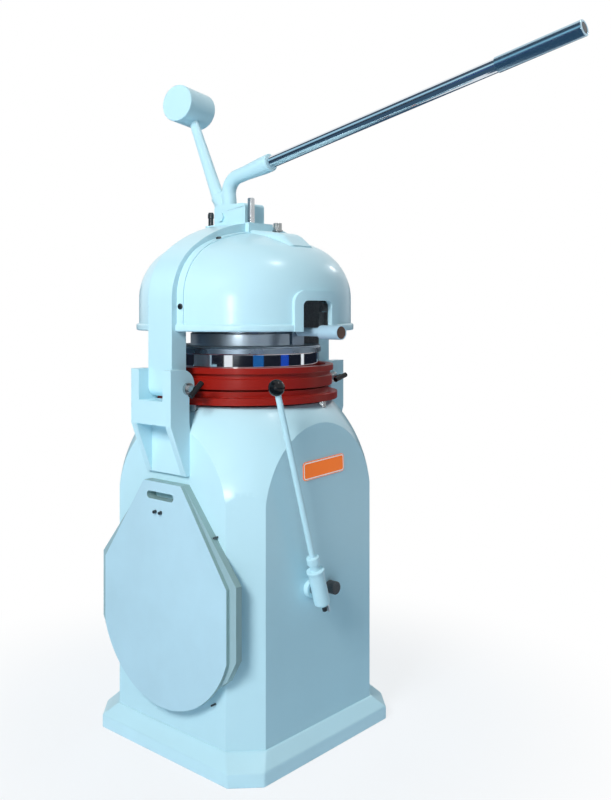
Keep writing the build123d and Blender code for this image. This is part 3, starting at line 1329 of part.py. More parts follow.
# One node per piece
NODES = {
    "base_plinth": make_plinth(),
    "pedestal_body": make_pedestal(),
    "rear_cover": make_rear_cover(),
    "rear_cover_screws": make_cover_screws(),
    "badge_plate": make_badge(),
    "cable_gland": make_gland(),
    "shaft_bushing": make_bushing(),
    "lever_bumper": make_bumper(),
    "table_bed": make_bed(),
    "bed_bolts": make_bed_bolts(),
    "spindle_housing": make_housing(),
    "spindle_bearings": make_bearings(),
    "eccentric_spindle": make_spindle(),
    "spindle_nut": make_spindle_nut(),
    "clutch_collar": make_collar(),
    "driven_pulley": make_driven_pulley(),
    "drive_belt": make_belt(),
    "motor": make_motor(),
    "motor_plate": make_motor_plate(),
    "motor_pulley": make_motor_pulley(),
    "rounding_table": make_table(),
    "moulding_plate": make_moulding_plate(),
    "guide_crank_left": make_guide_crank(-CRANK_X),
    "guide_crank_right": make_guide_crank(CRANK_X),
    "rounding_lever": make_rounding_lever(),
    "lever_ball": make_lever_ball(),
    "clutch_shaft": make_clutch_shaft(),
    "shift_fork": make_shift_fork(),
    "press_ring": make_press_ring(),
    "press_drum": make_drum(),
    "knife_star": make_knife_star(),
    "inner_pistons": pistons(0),
    "middle_pistons": pistons(1),
    "outer_pistons": pistons(2),
    "press_ram": make_ram(),
    "lock_ring": make_lock_ring(),
    "lock_handle": make_lock_handle(),
    "arch_frame": make_arch(),
    "front_dome_shell": make_front_shell(),
    "rear_dome_shell": shell_half(1),
    "dome_screws": make_dome_screws(),
    "crown_bolt": make_crown_bolt(),
    "ram_guide_bush": make_guide_bush(),
    "left_bracket": make_left_bracket(),
    "right_bracket": mirror(make_left_bracket(), about=Plane.YZ),
    "arch_pins": group([left_pin(WING_TURNS[0]), mirror(left_pin(WING_TURNS[1]), about=Plane.YZ)]),
    "pin_clips": group(both_sides(left_clip(CLIP_WIRE_R))),
    "lever_block": make_lever_block(),
    "lever_stop_pin": make_stop_pin(),
    "oil_cup": make_oil_cup(),
    "press_lever": make_press_lever(),
    "sector_gear": make_sector_gear(),
    "lever_tube": make_lever_tube(),
    "lever_grip": make_lever_grip(),
    "counterweight_rod": make_weight_rod(),
    "counterweight": make_counterweight(),
    "pivot_shaft": make_pivot_shaft(),
    "front_board": make_front_board(),
    "rear_board": make_rear_board(),
    "board_pegs": make_pegs(),
}

for name, shape in NODES.items():
    export_step(shape, f"parts/{name}.step")
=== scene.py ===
"""Looks of a hand-operated dough divider rounder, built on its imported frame.

Sizes of the object are in metres, and angles are in degrees unless a name or docstring says radians.
"""

import json
import logging
import math
from dataclasses import dataclass
from enum import Enum
from typing import Callable, Optional

import bmesh
import bpy
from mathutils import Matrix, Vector

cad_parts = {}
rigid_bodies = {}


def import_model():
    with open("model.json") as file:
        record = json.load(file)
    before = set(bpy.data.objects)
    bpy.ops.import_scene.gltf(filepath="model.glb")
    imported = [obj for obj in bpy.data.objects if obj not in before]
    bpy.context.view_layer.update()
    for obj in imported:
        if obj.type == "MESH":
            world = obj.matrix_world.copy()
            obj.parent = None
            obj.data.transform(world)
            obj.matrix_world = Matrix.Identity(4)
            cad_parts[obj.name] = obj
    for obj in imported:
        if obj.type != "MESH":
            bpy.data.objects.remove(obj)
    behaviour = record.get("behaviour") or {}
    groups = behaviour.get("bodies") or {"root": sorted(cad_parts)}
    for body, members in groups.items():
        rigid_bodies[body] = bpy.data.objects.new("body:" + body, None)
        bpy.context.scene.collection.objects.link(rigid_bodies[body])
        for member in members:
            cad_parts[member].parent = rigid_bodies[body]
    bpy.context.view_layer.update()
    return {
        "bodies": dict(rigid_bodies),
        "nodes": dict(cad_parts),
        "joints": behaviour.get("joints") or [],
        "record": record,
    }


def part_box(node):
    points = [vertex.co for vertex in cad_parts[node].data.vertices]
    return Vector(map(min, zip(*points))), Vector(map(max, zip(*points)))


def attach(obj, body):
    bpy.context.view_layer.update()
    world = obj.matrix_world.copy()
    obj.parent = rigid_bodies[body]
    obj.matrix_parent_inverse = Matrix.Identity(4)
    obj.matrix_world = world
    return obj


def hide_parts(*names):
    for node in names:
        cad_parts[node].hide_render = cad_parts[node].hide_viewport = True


LOG = logging.getLogger("dough_divider")
UP = (0.0, 0.0, 1.0)
BACK = (0.0, 1.0, 0.0)
NOISE_ROUGHNESS = 0.55
# Noise keeps mostly to this middle part of its range.
NOISE_RANGE = (0.3, 0.7)
HEX_SIDES = 6
SHANK_SIDES = 16
# A shank reaches twice this far into its head, so that the two shapes unite.
SHANK_LAP = 0.00025
# Largest share of the shorter side that a rounded corner takes.
CORNER_SHARE = 0.4
# Largest share and length of the flat beside such a corner.
FLAT_SHARE = 0.05
FLAT_LENGTH = 0.0005
# A profile's point nearer to the axis than this is a pole.
POLE_RADIUS = 1e-7
MERGE_GAP = 2e-6
BEVEL_ANGLE = 30.0

Colour = tuple[float, float, float]
Point = tuple[float, float, float]
Pair = tuple[float, float]
Profile = list[Pair]
Place = tuple[Point, Point]
Cuts = tuple[Place, ...]
Faces = list[tuple[int, ...]]
Inputs = dict[str | int, object]


class Body(Enum):
    """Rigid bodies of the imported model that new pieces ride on."""

    FRAME = "machine_frame"
    LEVER = "lever_arm"
    LOCK = "head_lock"
    CLUTCH = "clutch_lever"


class Edge(Enum):
    """How the edges of a copied CAD node are softened."""

    BEVEL = "bevel"
    CAST = "cast"


def placed(name: str, data: bpy.types.ID) -> bpy.types.Object:
    """Add a mesh, lamp or camera to the scene.

    Args:
        name: name of the object.
        data: what it shows.

    Returns:
        The object, at the origin.
    """
    made = bpy.data.objects.new(name, data)
    bpy.context.scene.collection.objects.link(made)
    return made


def applied(piece: bpy.types.Object) -> bpy.types.Object:
    """Turn a piece's modifiers into its mesh.

    Args:
        piece: object with modifiers.

    Returns:
        The same object with a plain mesh.
    """
    graph = bpy.context.evaluated_depsgraph_get()
    mesh = bpy.data.meshes.new_from_object(piece.evaluated_get(graph), depsgraph=graph)
    piece.modifiers.clear()
    piece.data = mesh
    return piece


def smoothed(mesh: bpy.types.Mesh, sharp: float) -> None:
    """Shade a mesh smooth, with edges above an angle left sharp."""
    mesh.shade_smooth()
    mesh.set_sharp_from_angle(angle=math.radians(sharp))


def outward(work: bmesh.types.BMesh, name: str) -> bpy.types.Mesh:
    """Make a mesh whose faces point outwards, and free the work.

    Args:
        work: the faces.
        name: name of the mesh.

    Returns:
        The mesh.
    """
    bmesh.ops.recalc_face_normals(work, faces=work.faces)
    mesh = bpy.data.meshes.new(name)
    work.to_mesh(mesh)
    work.free()
    return mesh


class NodeSheet:
    """Node tree that is filled by name."""

    def __init__(self, tree: bpy.types.NodeTree) -> None:
        """Take a tree and empty it."""
        self.tree = tree
        tree.nodes.clear()

    def add(self, kind: str, inputs: Optional[Inputs] = None, **settings: object) -> bpy.types.Node:
        """Add a node.

        Args:
            kind: Blender's node type.
            inputs: sockets by name or place, each with a constant or the socket that feeds it.
            settings: properties of the node.

        Returns:
            The new node.
        """
        node = self.tree.nodes.new(kind)
        for key, value in settings.items():
            setattr(node, key, value)
        for name, value in (inputs or {}).items():
            self.feed(node.inputs[name], value)
        return node

    def feed(self, target: bpy.types.NodeSocket, value: object) -> None:
        """Link a socket to its source, or set it to a constant.

        Args:
            target: the socket.
            value: the socket that feeds it, or the constant.
        """
        if isinstance(value, bpy.types.NodeSocket):
            self.tree.links.new(value, target)
        else:
            target.default_value = value


class ShaderSheet(NodeSheet):
    """Node tree of one procedural material, read on Object coordinates."""

    def __init__(self, name: str) -> None:
        """Start a material with a principled shader.

        Args:
            name: name of the material.
        """
        self.material = bpy.data.materials.new(name)
        self.material.use_nodes = True
        super().__init__(self.material.node_tree)
        self.shader = self.add("ShaderNodeBsdfPrincipled")
        self.add("ShaderNodeOutputMaterial", {"Surface": self.shader.outputs[0]})
        self.coords = self.add("ShaderNodeTexCoord").outputs["Object"]

    def set(self, **values: object) -> None:
        """Feed the shader's own sockets.

        Args:
            values: socket names with underscores for spaces, and their constants or sources.
        """
        for key, value in values.items():
            if isinstance(value, tuple):
                value = (*value, 1.0)
            self.feed(self.shader.inputs[key.replace("_", " ")], value)

    def stretched(self, scale: Point, turn: Point = (0.0, 0.0, 0.0)) -> bpy.types.NodeSocket:
        """Object coordinates for a directional pattern.

        Args:
            scale: scale along each axis.
            turn: turn about each axis, in radians.

        Returns:
            The mapped coordinates.
        """
        inputs = {"Vector": self.coords, "Scale": scale, "Rotation": turn}
        return self.add("ShaderNodeMapping", inputs).outputs[0]

    def noise(self, scale: float, detail: float = 3.0,
              vector: Optional[bpy.types.NodeSocket] = None) -> bpy.types.NodeSocket:
        """Noise on Object coordinates.

        Args:
            scale: noise scale per metre.
            detail: number of octaves.
            vector: coordinates other than the plain ones.

        Returns:
            The noise factor.
        """
        inputs = {"Vector": vector or self.coords, "Scale": scale, "Detail": detail,
                  "Roughness": NOISE_ROUGHNESS}
        return self.add("ShaderNodeTexNoise", inputs).outputs["Fac"]

    def span(self, factor: bpy.types.NodeSocket, low: float, high: float) -> bpy.types.NodeSocket:
        """Map a noise factor's usual range to a range of values.

        Args:
            factor: the factor.
            low: value at the start of the range.
            high: value at its end.

        Returns:
            The mapped value.
        """
        start, end = NOISE_RANGE
        inputs = {"Value": factor, "From Min": start, "From Max": end, "To Min": low, "To Max": high}
        return self.add("ShaderNodeMapRange", inputs).outputs["Result"]

    def mottle(self, factor: bpy.types.NodeSocket, colour: Colour, levels: Pair) -> None:
        """Colour the surface between two shades of one colour.

        Args:
            factor: noise that picks the shade.
            colour: the colour.
            levels: brightness of the darker and of the lighter shade.
        """
        node = self.add("ShaderNodeMix", {"Factor": self.span(factor, 0.0, 1.0)}, data_type="RGBA")
        for socket, level in zip([s for s in node.inputs if s.type == "RGBA"], levels):
            socket.default_value = (*(min(1.0, c * level) for c in colour), 1.0)
        self.set(Base_Color=[s for s in node.outputs if s.type == "RGBA"][0])

    def uneven(self, factor: bpy.types.NodeSocket, roughness: float, levels: Pair) -> None:
        """Vary the roughness over the surface.

        Args:
            factor: noise that picks the level.
            roughness: the plain roughness.
            levels: factors of the smoothest and of the roughest places.
        """
        low, high = levels
        self.set(Roughness=self.span(factor, roughness * low, roughness * high))

    def relief(self, height: bpy.types.NodeSocket, strength: float, distance: float) -> None:
        """Bump the surface.

        Args:
            height: height factor.
            strength: strength of the bump.
            distance: depth in metres.
        """
        node = self.add("ShaderNodeBump", {"Strength": strength, "Distance": distance, "Height": height})
        self.set(Normal=node.outputs["Normal"])


@dataclass(frozen=True)
class Enamel:
    """Sprayed enamel on cast iron: a slow tint, orange peel, a wet gloss, and where set a painted glow, an
    emission that stands in for light.
    """

    name: str
    colour: Colour
    roughness: float = 0.30
    coat: float = 0.15
    gloss: float = 0.4
    glow: float = 0.0
    tint_scale: float = 2.6
    tint_levels: Pair = (0.97, 1.02)
    rough_scale: float = 7.0
    rough_levels: Pair = (0.92, 1.1)
    peel_scale: float = 90.0
    peel_strength: float = 0.04
    peel_depth: float = 0.0002
    coat_roughness: float = 0.12
    index: float = 1.5

    def make(self) -> bpy.types.Material:
        """Build the material.

        Returns:
            The material.
        """
        sheet = ShaderSheet(self.name)
        sheet.mottle(sheet.noise(self.tint_scale, detail=4.0), self.colour, self.tint_levels)
        sheet.uneven(sheet.noise(self.rough_scale, detail=2.0), self.roughness, self.rough_levels)
        sheet.relief(sheet.noise(self.peel_scale, detail=2.0), self.peel_strength, self.peel_depth)
        sheet.set(Coat_Weight=self.coat, Coat_Roughness=self.coat_roughness, IOR=self.index,
                  Specular_IOR_Level=self.gloss)
        if self.glow:
            sheet.set(Emission_Color=self.colour, Emission_Strength=self.glow)
        return sheet.material


@dataclass(frozen=True)
class Steel:
    """Bare metal with fine streaks along one axis."""

    name: str
    colour: Colour
    roughness: float
    depth: float = 0.00003
    contrast: float = 0.06
    streak: Point = (60.0, 60.0, 900.0)
    streak_strength: float = 0.25
    rough_scale: float = 14.0
    rough_levels: Pair = (0.75, 1.3)

    def make(self) -> bpy.types.Material:
        """Build the material.

        Returns:
            The material.
        """
        sheet = ShaderSheet(self.name)
        grain = sheet.noise(1.0, detail=4.0, vector=sheet.stretched(self.streak))
        sheet.mottle(grain, self.colour, (1.0 - self.contrast, 1.0 + self.contrast))
        sheet.uneven(sheet.noise(self.rough_scale, detail=4.0), self.roughness, self.rough_levels)
        if self.depth:
            sheet.relief(grain, self.streak_strength, self.depth)
        sheet.set(Metallic=1.0)
        return sheet.material


@dataclass(frozen=True)
class Plastic:
    """Moulded or cut plastic with fine grain and faint scuffs."""

    name: str
    colour: Colour
    roughness: float
    grain_scale: float = 700.0
    grain_strength: float = 0.2
    grain_depth: float = 0.0001
    scuff: float = 0.04
    scuff_scale: float = 6.0
    gloss: float = 0.5
    scratch: Point = (40.0, 260.0, 30.0)
    scratch_radians: Point = (0.4, 0.0, 0.3)
    scratch_levels: Pair = (0.8, 1.25)

    def make(self) -> bpy.types.Material:
        """Build the material.

        Returns:
            The material.
        """
        sheet = ShaderSheet(self.name)
        cloud = sheet.noise(self.scuff_scale, detail=5.0)
        sheet.mottle(cloud, self.colour, (1.0 - self.scuff, 1.0 + self.scuff))
        scratch = sheet.noise(1.0, detail=6.0, vector=sheet.stretched(self.scratch, self.scratch_radians))
        sheet.uneven(scratch, self.roughness, self.scratch_levels)
        sheet.relief(sheet.noise(self.grain_scale), self.grain_strength, self.grain_depth)
        sheet.set(Specular_IOR_Level=self.gloss)
        return sheet.material


@dataclass(frozen=True)
class CastIron:
    """Grey iron with a sand-cast skin."""

    name: str
    colour: Colour
    roughness: float = 0.6
    skin_scale: float = 260.0
    skin_levels: Pair = (0.75, 1.2)
    skin_strength: float = 0.5
    skin_depth: float = 0.0006
    rough_scale: float = 40.0
    rough_levels: Pair = (0.85, 1.15)
    metal: float = 0.35

    def make(self) -> bpy.types.Material:
        """Build the material.

        Returns:
            The material.
        """
        sheet = ShaderSheet(self.name)
        skin = sheet.noise(self.skin_scale, detail=5.0)
        sheet.mottle(skin, self.colour, self.skin_levels)
        sheet.uneven(sheet.noise(self.rough_scale), self.roughness, self.rough_levels)
        sheet.relief(skin, self.skin_strength, self.skin_depth)
        sheet.set(Metallic=self.metal)
        return sheet.material


FINISHES = {
    "white_paint": Enamel("white_enamel", (0.64, 0.89, 0.97)),
    "red_paint": Enamel("red_enamel", (0.36, 0.012, 0.006), roughness=0.35, coat=0.05, gloss=0.25),
    # The orange plate's glow is painted light, an emission that brightens it in the front face's shade.
    "badge_orange": Enamel("orange_plate", (1.0, 0.19, 0.02), roughness=0.4, coat=0.05, gloss=0.3,
                           glow=0.35),
    "polished_steel": Steel("polished_steel", (0.74, 0.79, 0.84), 0.06, depth=0.0, contrast=0.03),
    "steel": Steel("machined_steel", (0.50, 0.53, 0.55), 0.26),
    "bare_aluminium": Steel("turned_aluminium", (0.74, 0.78, 0.81), 0.36),
    "dark_iron": CastIron("dark_iron", (0.10, 0.105, 0.11)),
    "bronze": Steel("bearing_bronze", (0.58, 0.38, 0.16), 0.3),
    "black_plastic": Plastic("black_phenolic", (0.006, 0.007, 0.009), 0.12, grain_depth=0.00002, scuff=0.2,
                             gloss=0.22),
    "board_plastic": Plastic("board_polyethylene", (0.55, 0.76, 0.86), 0.45),
    "black_rubber": Plastic("moulded_rubber", (0.018, 0.024, 0.028), 0.62),
}
EXTRA_FINISHES = {
    "dark_screw": Steel("blackened_steel", (0.10, 0.105, 0.11), 0.4),
    # The badge line's glow is painted light too; the raised line itself is real.
    "pale_line": Enamel("pale_line", (1.0, 0.86, 0.80), roughness=0.35, coat=0.1, glow=0.2),
    "grip_end": Plastic("grip_end_plug", (0.015, 0.02, 0.03), 0.35),
    "bolt_steel": Steel("dull_steel", (0.36, 0.38, 0.38), 0.42, depth=0.0),
    "satin_steel": Steel("satin_steel", (0.80, 0.88, 0.92), 0.38, depth=0.0, contrast=0.03),
    # Darker blue steel: a painted dark reflection on the press ring's flange, and painted shade on the lock
    # ring.
    "steel_painted_shade_and_reflection": Steel("steel_painted_shade_and_reflection", (0.24, 0.31, 0.38), 0.30, depth=0.0),
    # The drum's blue-grey tint is a painted reflection.
    "drum_metal": Steel("drum_steel_painted_blue_reflection", (0.47, 0.58, 0.67), 0.42, depth=0.0),
    "grip_metal": Enamel("grip_enamel", (0.50, 0.68, 0.80), gloss=0.7),
    "sleeve_metal": Steel("sleeve_metal", (0.40, 0.57, 0.68), 0.2, depth=0.0),
    # Darker edge colour for the boards: painted shade on faces turned from the light.
    "board_edge_shade": Plastic("board_edge_painted_shade", (0.33, 0.47, 0.47), 0.5),
    # Darker grey painted as shade on faces inside the dome, where little light reaches.
    "dome_inside_shade": CastIron("dome_inside_painted_shade", (0.36, 0.37, 0.37)),
    # Darker rear board colour: painted shade cast by the front board.
    "rear_board_shade": Plastic("rear_board_painted_shade", (0.38, 0.53, 0.57), 0.48),
    "brown_end": Plastic("brown_end_disc", (0.11, 0.05, 0.032), 0.4),
}


class GeometryRecipe(NodeSheet):
    """Geometry Nodes tree with named inputs, turned into a plain mesh."""

    def __init__(self, name: str) -> None:
        """Start a tree with geometry in and out.

        Args:
            name: name of the tree.
        """
        super().__init__(bpy.data.node_groups.new(name, "GeometryNodeTree"))
        for way in ("INPUT", "OUTPUT"):
            self.tree.interface.new_socket("Geometry", in_out=way, socket_type="NodeSocketGeometry")
        self.entry = self.add("NodeGroupInput")
        self.exit = self.add("NodeGroupOutput")
        self.names: dict[str, str] = {}
        self.values: dict[str, object] = {}

    def value(self, label: str, amount: object, kind: str = "NodeSocketFloat") -> bpy.types.NodeSocket:
        """Add a named input.

        Args:
            label: name of the input.
            amount: its value.
            kind: socket type.

        Returns:
            The input's socket inside the tree.
        """
        socket = self.tree.interface.new_socket(label, in_out="INPUT", socket_type=kind)
        self.names[label] = socket.identifier
        self.values[label] = amount
        return self.entry.outputs[label]

    def reckon(self, first: object, second: object, operation: str = "ADD") -> bpy.types.NodeSocket:
        """Combine two numbers.

        Args:
            first: a socket or a number.
            second: a socket or a number.
            operation: Blender's name of the operation.

        Returns:
            The result.
        """
        return self.add("ShaderNodeMath", {0: first, 1: second}, operation=operation).outputs[0]

    def vector(self, **parts: object) -> bpy.types.NodeSocket:
        """Vector of named parts, each a socket or a number."""
        return self.add("ShaderNodeCombineXYZ", parts).outputs[0]

    def cylinder(self, sides: object, radius: object, depth: object) -> bpy.types.NodeSocket:
        """Closed cylinder about its own middle.

        Args:
            sides: faces round it.
            radius: its radius.
            depth: its length along Z.

        Returns:
            The geometry.
        """
        inputs = {"Vertices": sides, "Radius": radius, "Depth": depth}
        return self.add("GeometryNodeMeshCylinder", inputs, fill_type="NGON").outputs["Mesh"]

    def on_points(self, points: bpy.types.NodeSocket, shape: bpy.types.NodeSocket,
                  **more: object) -> bpy.types.NodeSocket:
        """Set a shape on every point.

        Args:
            points: the points.
            shape: the shape.
            more: further inputs of the instances.

        Returns:
            The instances.
        """
        inputs = {"Points": points, "Instance": shape, **more}
        return self.add("GeometryNodeInstanceOnPoints", inputs).outputs[0]

    def lifted(self, shape: bpy.types.NodeSocket, height: bpy.types.NodeSocket) -> bpy.types.NodeSocket:
        """Move a shape up.

        Args:
            shape: the geometry.
            height: how far.

        Returns:
            The moved geometry.
        """
        inputs = {"Geometry": shape, "Translation": self.vector(Z=height)}
        return self.add("GeometryNodeTransform", inputs).outputs[0]

    def close(self, shape: bpy.types.NodeSocket, finish: bpy.types.Material) -> None:
        """End the tree in real geometry with its finish.

        Args:
            shape: the instances.
            finish: the material.
        """
        real = self.add("GeometryNodeRealizeInstances", {"Geometry": shape})
        inputs = {"Geometry": real.outputs[0], "Material": self.value("Finish", finish, "NodeSocketMaterial")}
        self.feed(self.exit.inputs[0], self.add("GeometryNodeSetMaterial", inputs).outputs[0])

    def bake(self, piece: bpy.types.Object, sharp: float = 35.0) -> bpy.types.Object:
        """Run the tree on an object and keep the result as its mesh.

        Args:
            piece: object whose points carry the instances.
            sharp: angle in degrees above which edges stay sharp.

        Returns:
            The same object with a plain mesh.
        """
        modifier = piece.modifiers.new("recipe", "NODES")
        modifier.node_group = self.tree
        for label, identifier in self.names.items():
            modifier[identifier] = self.values[label]
        mesh = applied(piece).data
        for attribute in [a for a in mesh.attributes if a.name == "axis"]:
            mesh.attributes.remove(attribute)
        smoothed(mesh, sharp)
        return piece


@dataclass(frozen=True)
class Fastener:
    """Screw or bolt head with a chamfer, a hexagon socket and a shank."""

    name: str
    head_radius: float
    head_height: float
    sides: int = 32
    chamfer: float = 0.0015
    socket_radius: float = 0.0
    socket_depth: float = 0.0
    shank_radius: float = 0.003
    shank_length: float = 0.006

    def recipe(self, finish: bpy.types.Material) -> GeometryRecipe:
        """Build the tree that sets one fastener on every point.

        Args:
            finish: the fastener's material.

        Returns:
            The tree.
        """
        made = GeometryRecipe(self.name)
        radius = made.value("Head Radius", self.head_radius)
        height = made.value("Head Height", self.head_height)
        chamfer = made.value("Chamfer", self.chamfer)
        sides = made.value("Sides", self.sides, "NodeSocketInt")
        straight = made.reckon(height, chamfer, "SUBTRACT")
        side = made.cylinder(sides, radius, straight)
        inputs = {"Vertices": sides, "Radius Top": made.reckon(radius, chamfer, "SUBTRACT"),
                  "Radius Bottom": radius, "Depth": chamfer}
        top = made.add("GeometryNodeMeshCone", inputs, fill_type="NGON").outputs["Mesh"]
        length = made.value("Shank Length", self.shank_length)
        thick = made.value("Shank Radius", self.shank_radius)
        shank = made.cylinder(SHANK_SIDES, thick, made.reckon(length, 2 * SHANK_LAP))
        union = made.add("GeometryNodeMeshBoolean", operation="UNION")
        lifts = ((side, made.reckon(straight, 0.5, "MULTIPLY")), (top, straight),
                 (shank, made.reckon(made.reckon(length, -0.5, "MULTIPLY"), SHANK_LAP)))
        for shape, lift in lifts:
            made.feed(union.inputs["Mesh 2"], made.lifted(shape, lift))
        whole = union.outputs["Mesh"]
        if self.socket_radius:
            wide = made.value("Socket Radius", self.socket_radius)
            depth = made.value("Socket Depth", self.socket_depth)
            key = made.cylinder(HEX_SIDES, wide, made.reckon(depth, 2.0, "MULTIPLY"))
            inputs = {"Mesh 1": whole, "Mesh 2": made.lifted(key, height)}
            whole = made.add("GeometryNodeMeshBoolean", inputs, operation="DIFFERENCE").outputs["Mesh"]
        axis = made.add("GeometryNodeInputNamedAttribute", {"Name": "axis"}, data_type="FLOAT_VECTOR")
        aim = made.add("FunctionNodeAlignRotationToVector", {"Vector": axis.outputs["Attribute"]}, axis="Z")
        made.close(made.on_points(made.entry.outputs["Geometry"], whole, Rotation=aim.outputs[0]), finish)
        return made


@dataclass(frozen=True)
class Louvres:
    """Row of pressed hoods over the slots of a sheet cover."""

    count: int
    pitch: float
    width: float
    radius: float
    proud: float
    steps: int = 25
    sides: int = 20
    end_power: float = 10.0
    end_blunt: float = 1.02

    def recipe(self, finish: bpy.types.Material) -> GeometryRecipe:
        """Build the tree that sets the hoods above the start point.

        Args:
            finish: the cover's material.

        Returns:
            The tree.
        """
        made = GeometryRecipe("louvre_hoods")
        count = made.value("Count", self.count, "NodeSocketInt")
        step = made.vector(Z=made.value("Pitch", self.pitch))
        row = made.add("GeometryNodeMeshLine", {"Count": count, "Offset": step}).outputs[0]
        half = made.reckon(made.value("Width", self.width), 0.5, "MULTIPLY")
        ends = {"Start": made.vector(X=made.reckon(half, -1.0, "MULTIPLY")), "End": made.vector(X=half)}
        line = made.add("GeometryNodeCurvePrimitiveLine", ends).outputs[0]
        fine = made.add("GeometryNodeResampleCurve", {"Curve": line, "Count": self.steps}).outputs[0]
        along = made.add("GeometryNodeSplineParameter").outputs["Factor"]
        middle = made.reckon(made.reckon(along, 0.5, "SUBTRACT"), 2.0, "MULTIPLY")
        power = made.reckon(made.reckon(middle, 0.0, "ABSOLUTE"), self.end_power, "POWER")
        taper = made.reckon(made.reckon(self.end_blunt, power, "SUBTRACT"), 0.5, "POWER")
        inputs = {"Resolution": self.sides, "Radius": made.value("Hood Radius", self.radius)}
        ring = made.add("GeometryNodeCurvePrimitiveCircle", inputs).outputs[0]
        inputs = {"Curve": fine, "Profile Curve": ring, "Scale": taper, "Fill Caps": True}
        hood = made.add("GeometryNodeCurveToMesh", inputs).outputs[0]
        squeeze = made.vector(X=1.0, Y=made.value("Proud", self.proud), Z=1.0)
        flat = made.add("GeometryNodeTransform", {"Geometry": hood, "Scale": squeeze}).outputs[0]
        made.close(made.on_points(made.entry.outputs["Geometry"], made.on_points(row, flat)), finish)
        return made


def rounded(profile: Profile, radius: float, steps: int = 4) -> Profile:
    """Round the inner corners of a turned profile, with short flats that keep its walls straight.

    Args:
        profile: points of distance and radius, in metres.
        radius: largest corner radius.
        steps: points per corner.

    Returns:
        The profile with rounded corners.
    """
    made = [profile[0]]
    for before, corner, after in zip(profile, profile[1:], profile[2:]):
        here = Vector(corner)
        back, on = Vector(before) - here, Vector(after) - here
        room = min(back.length, on.length)
        cut, hold = min(radius, room * CORNER_SHARE), min(FLAT_LENGTH, room * FLAT_SHARE)
        first, last = here + back.normalized() * cut, here + on.normalized() * cut
        made.append(tuple(first + back.normalized() * hold))
        for i in range(steps + 1):
            t = i / steps
            made.append(tuple(first.lerp(here, t).lerp(here.lerp(last, t), t)))
        made.append(tuple(last + on.normalized() * hold))
    return made + [profile[-1]]


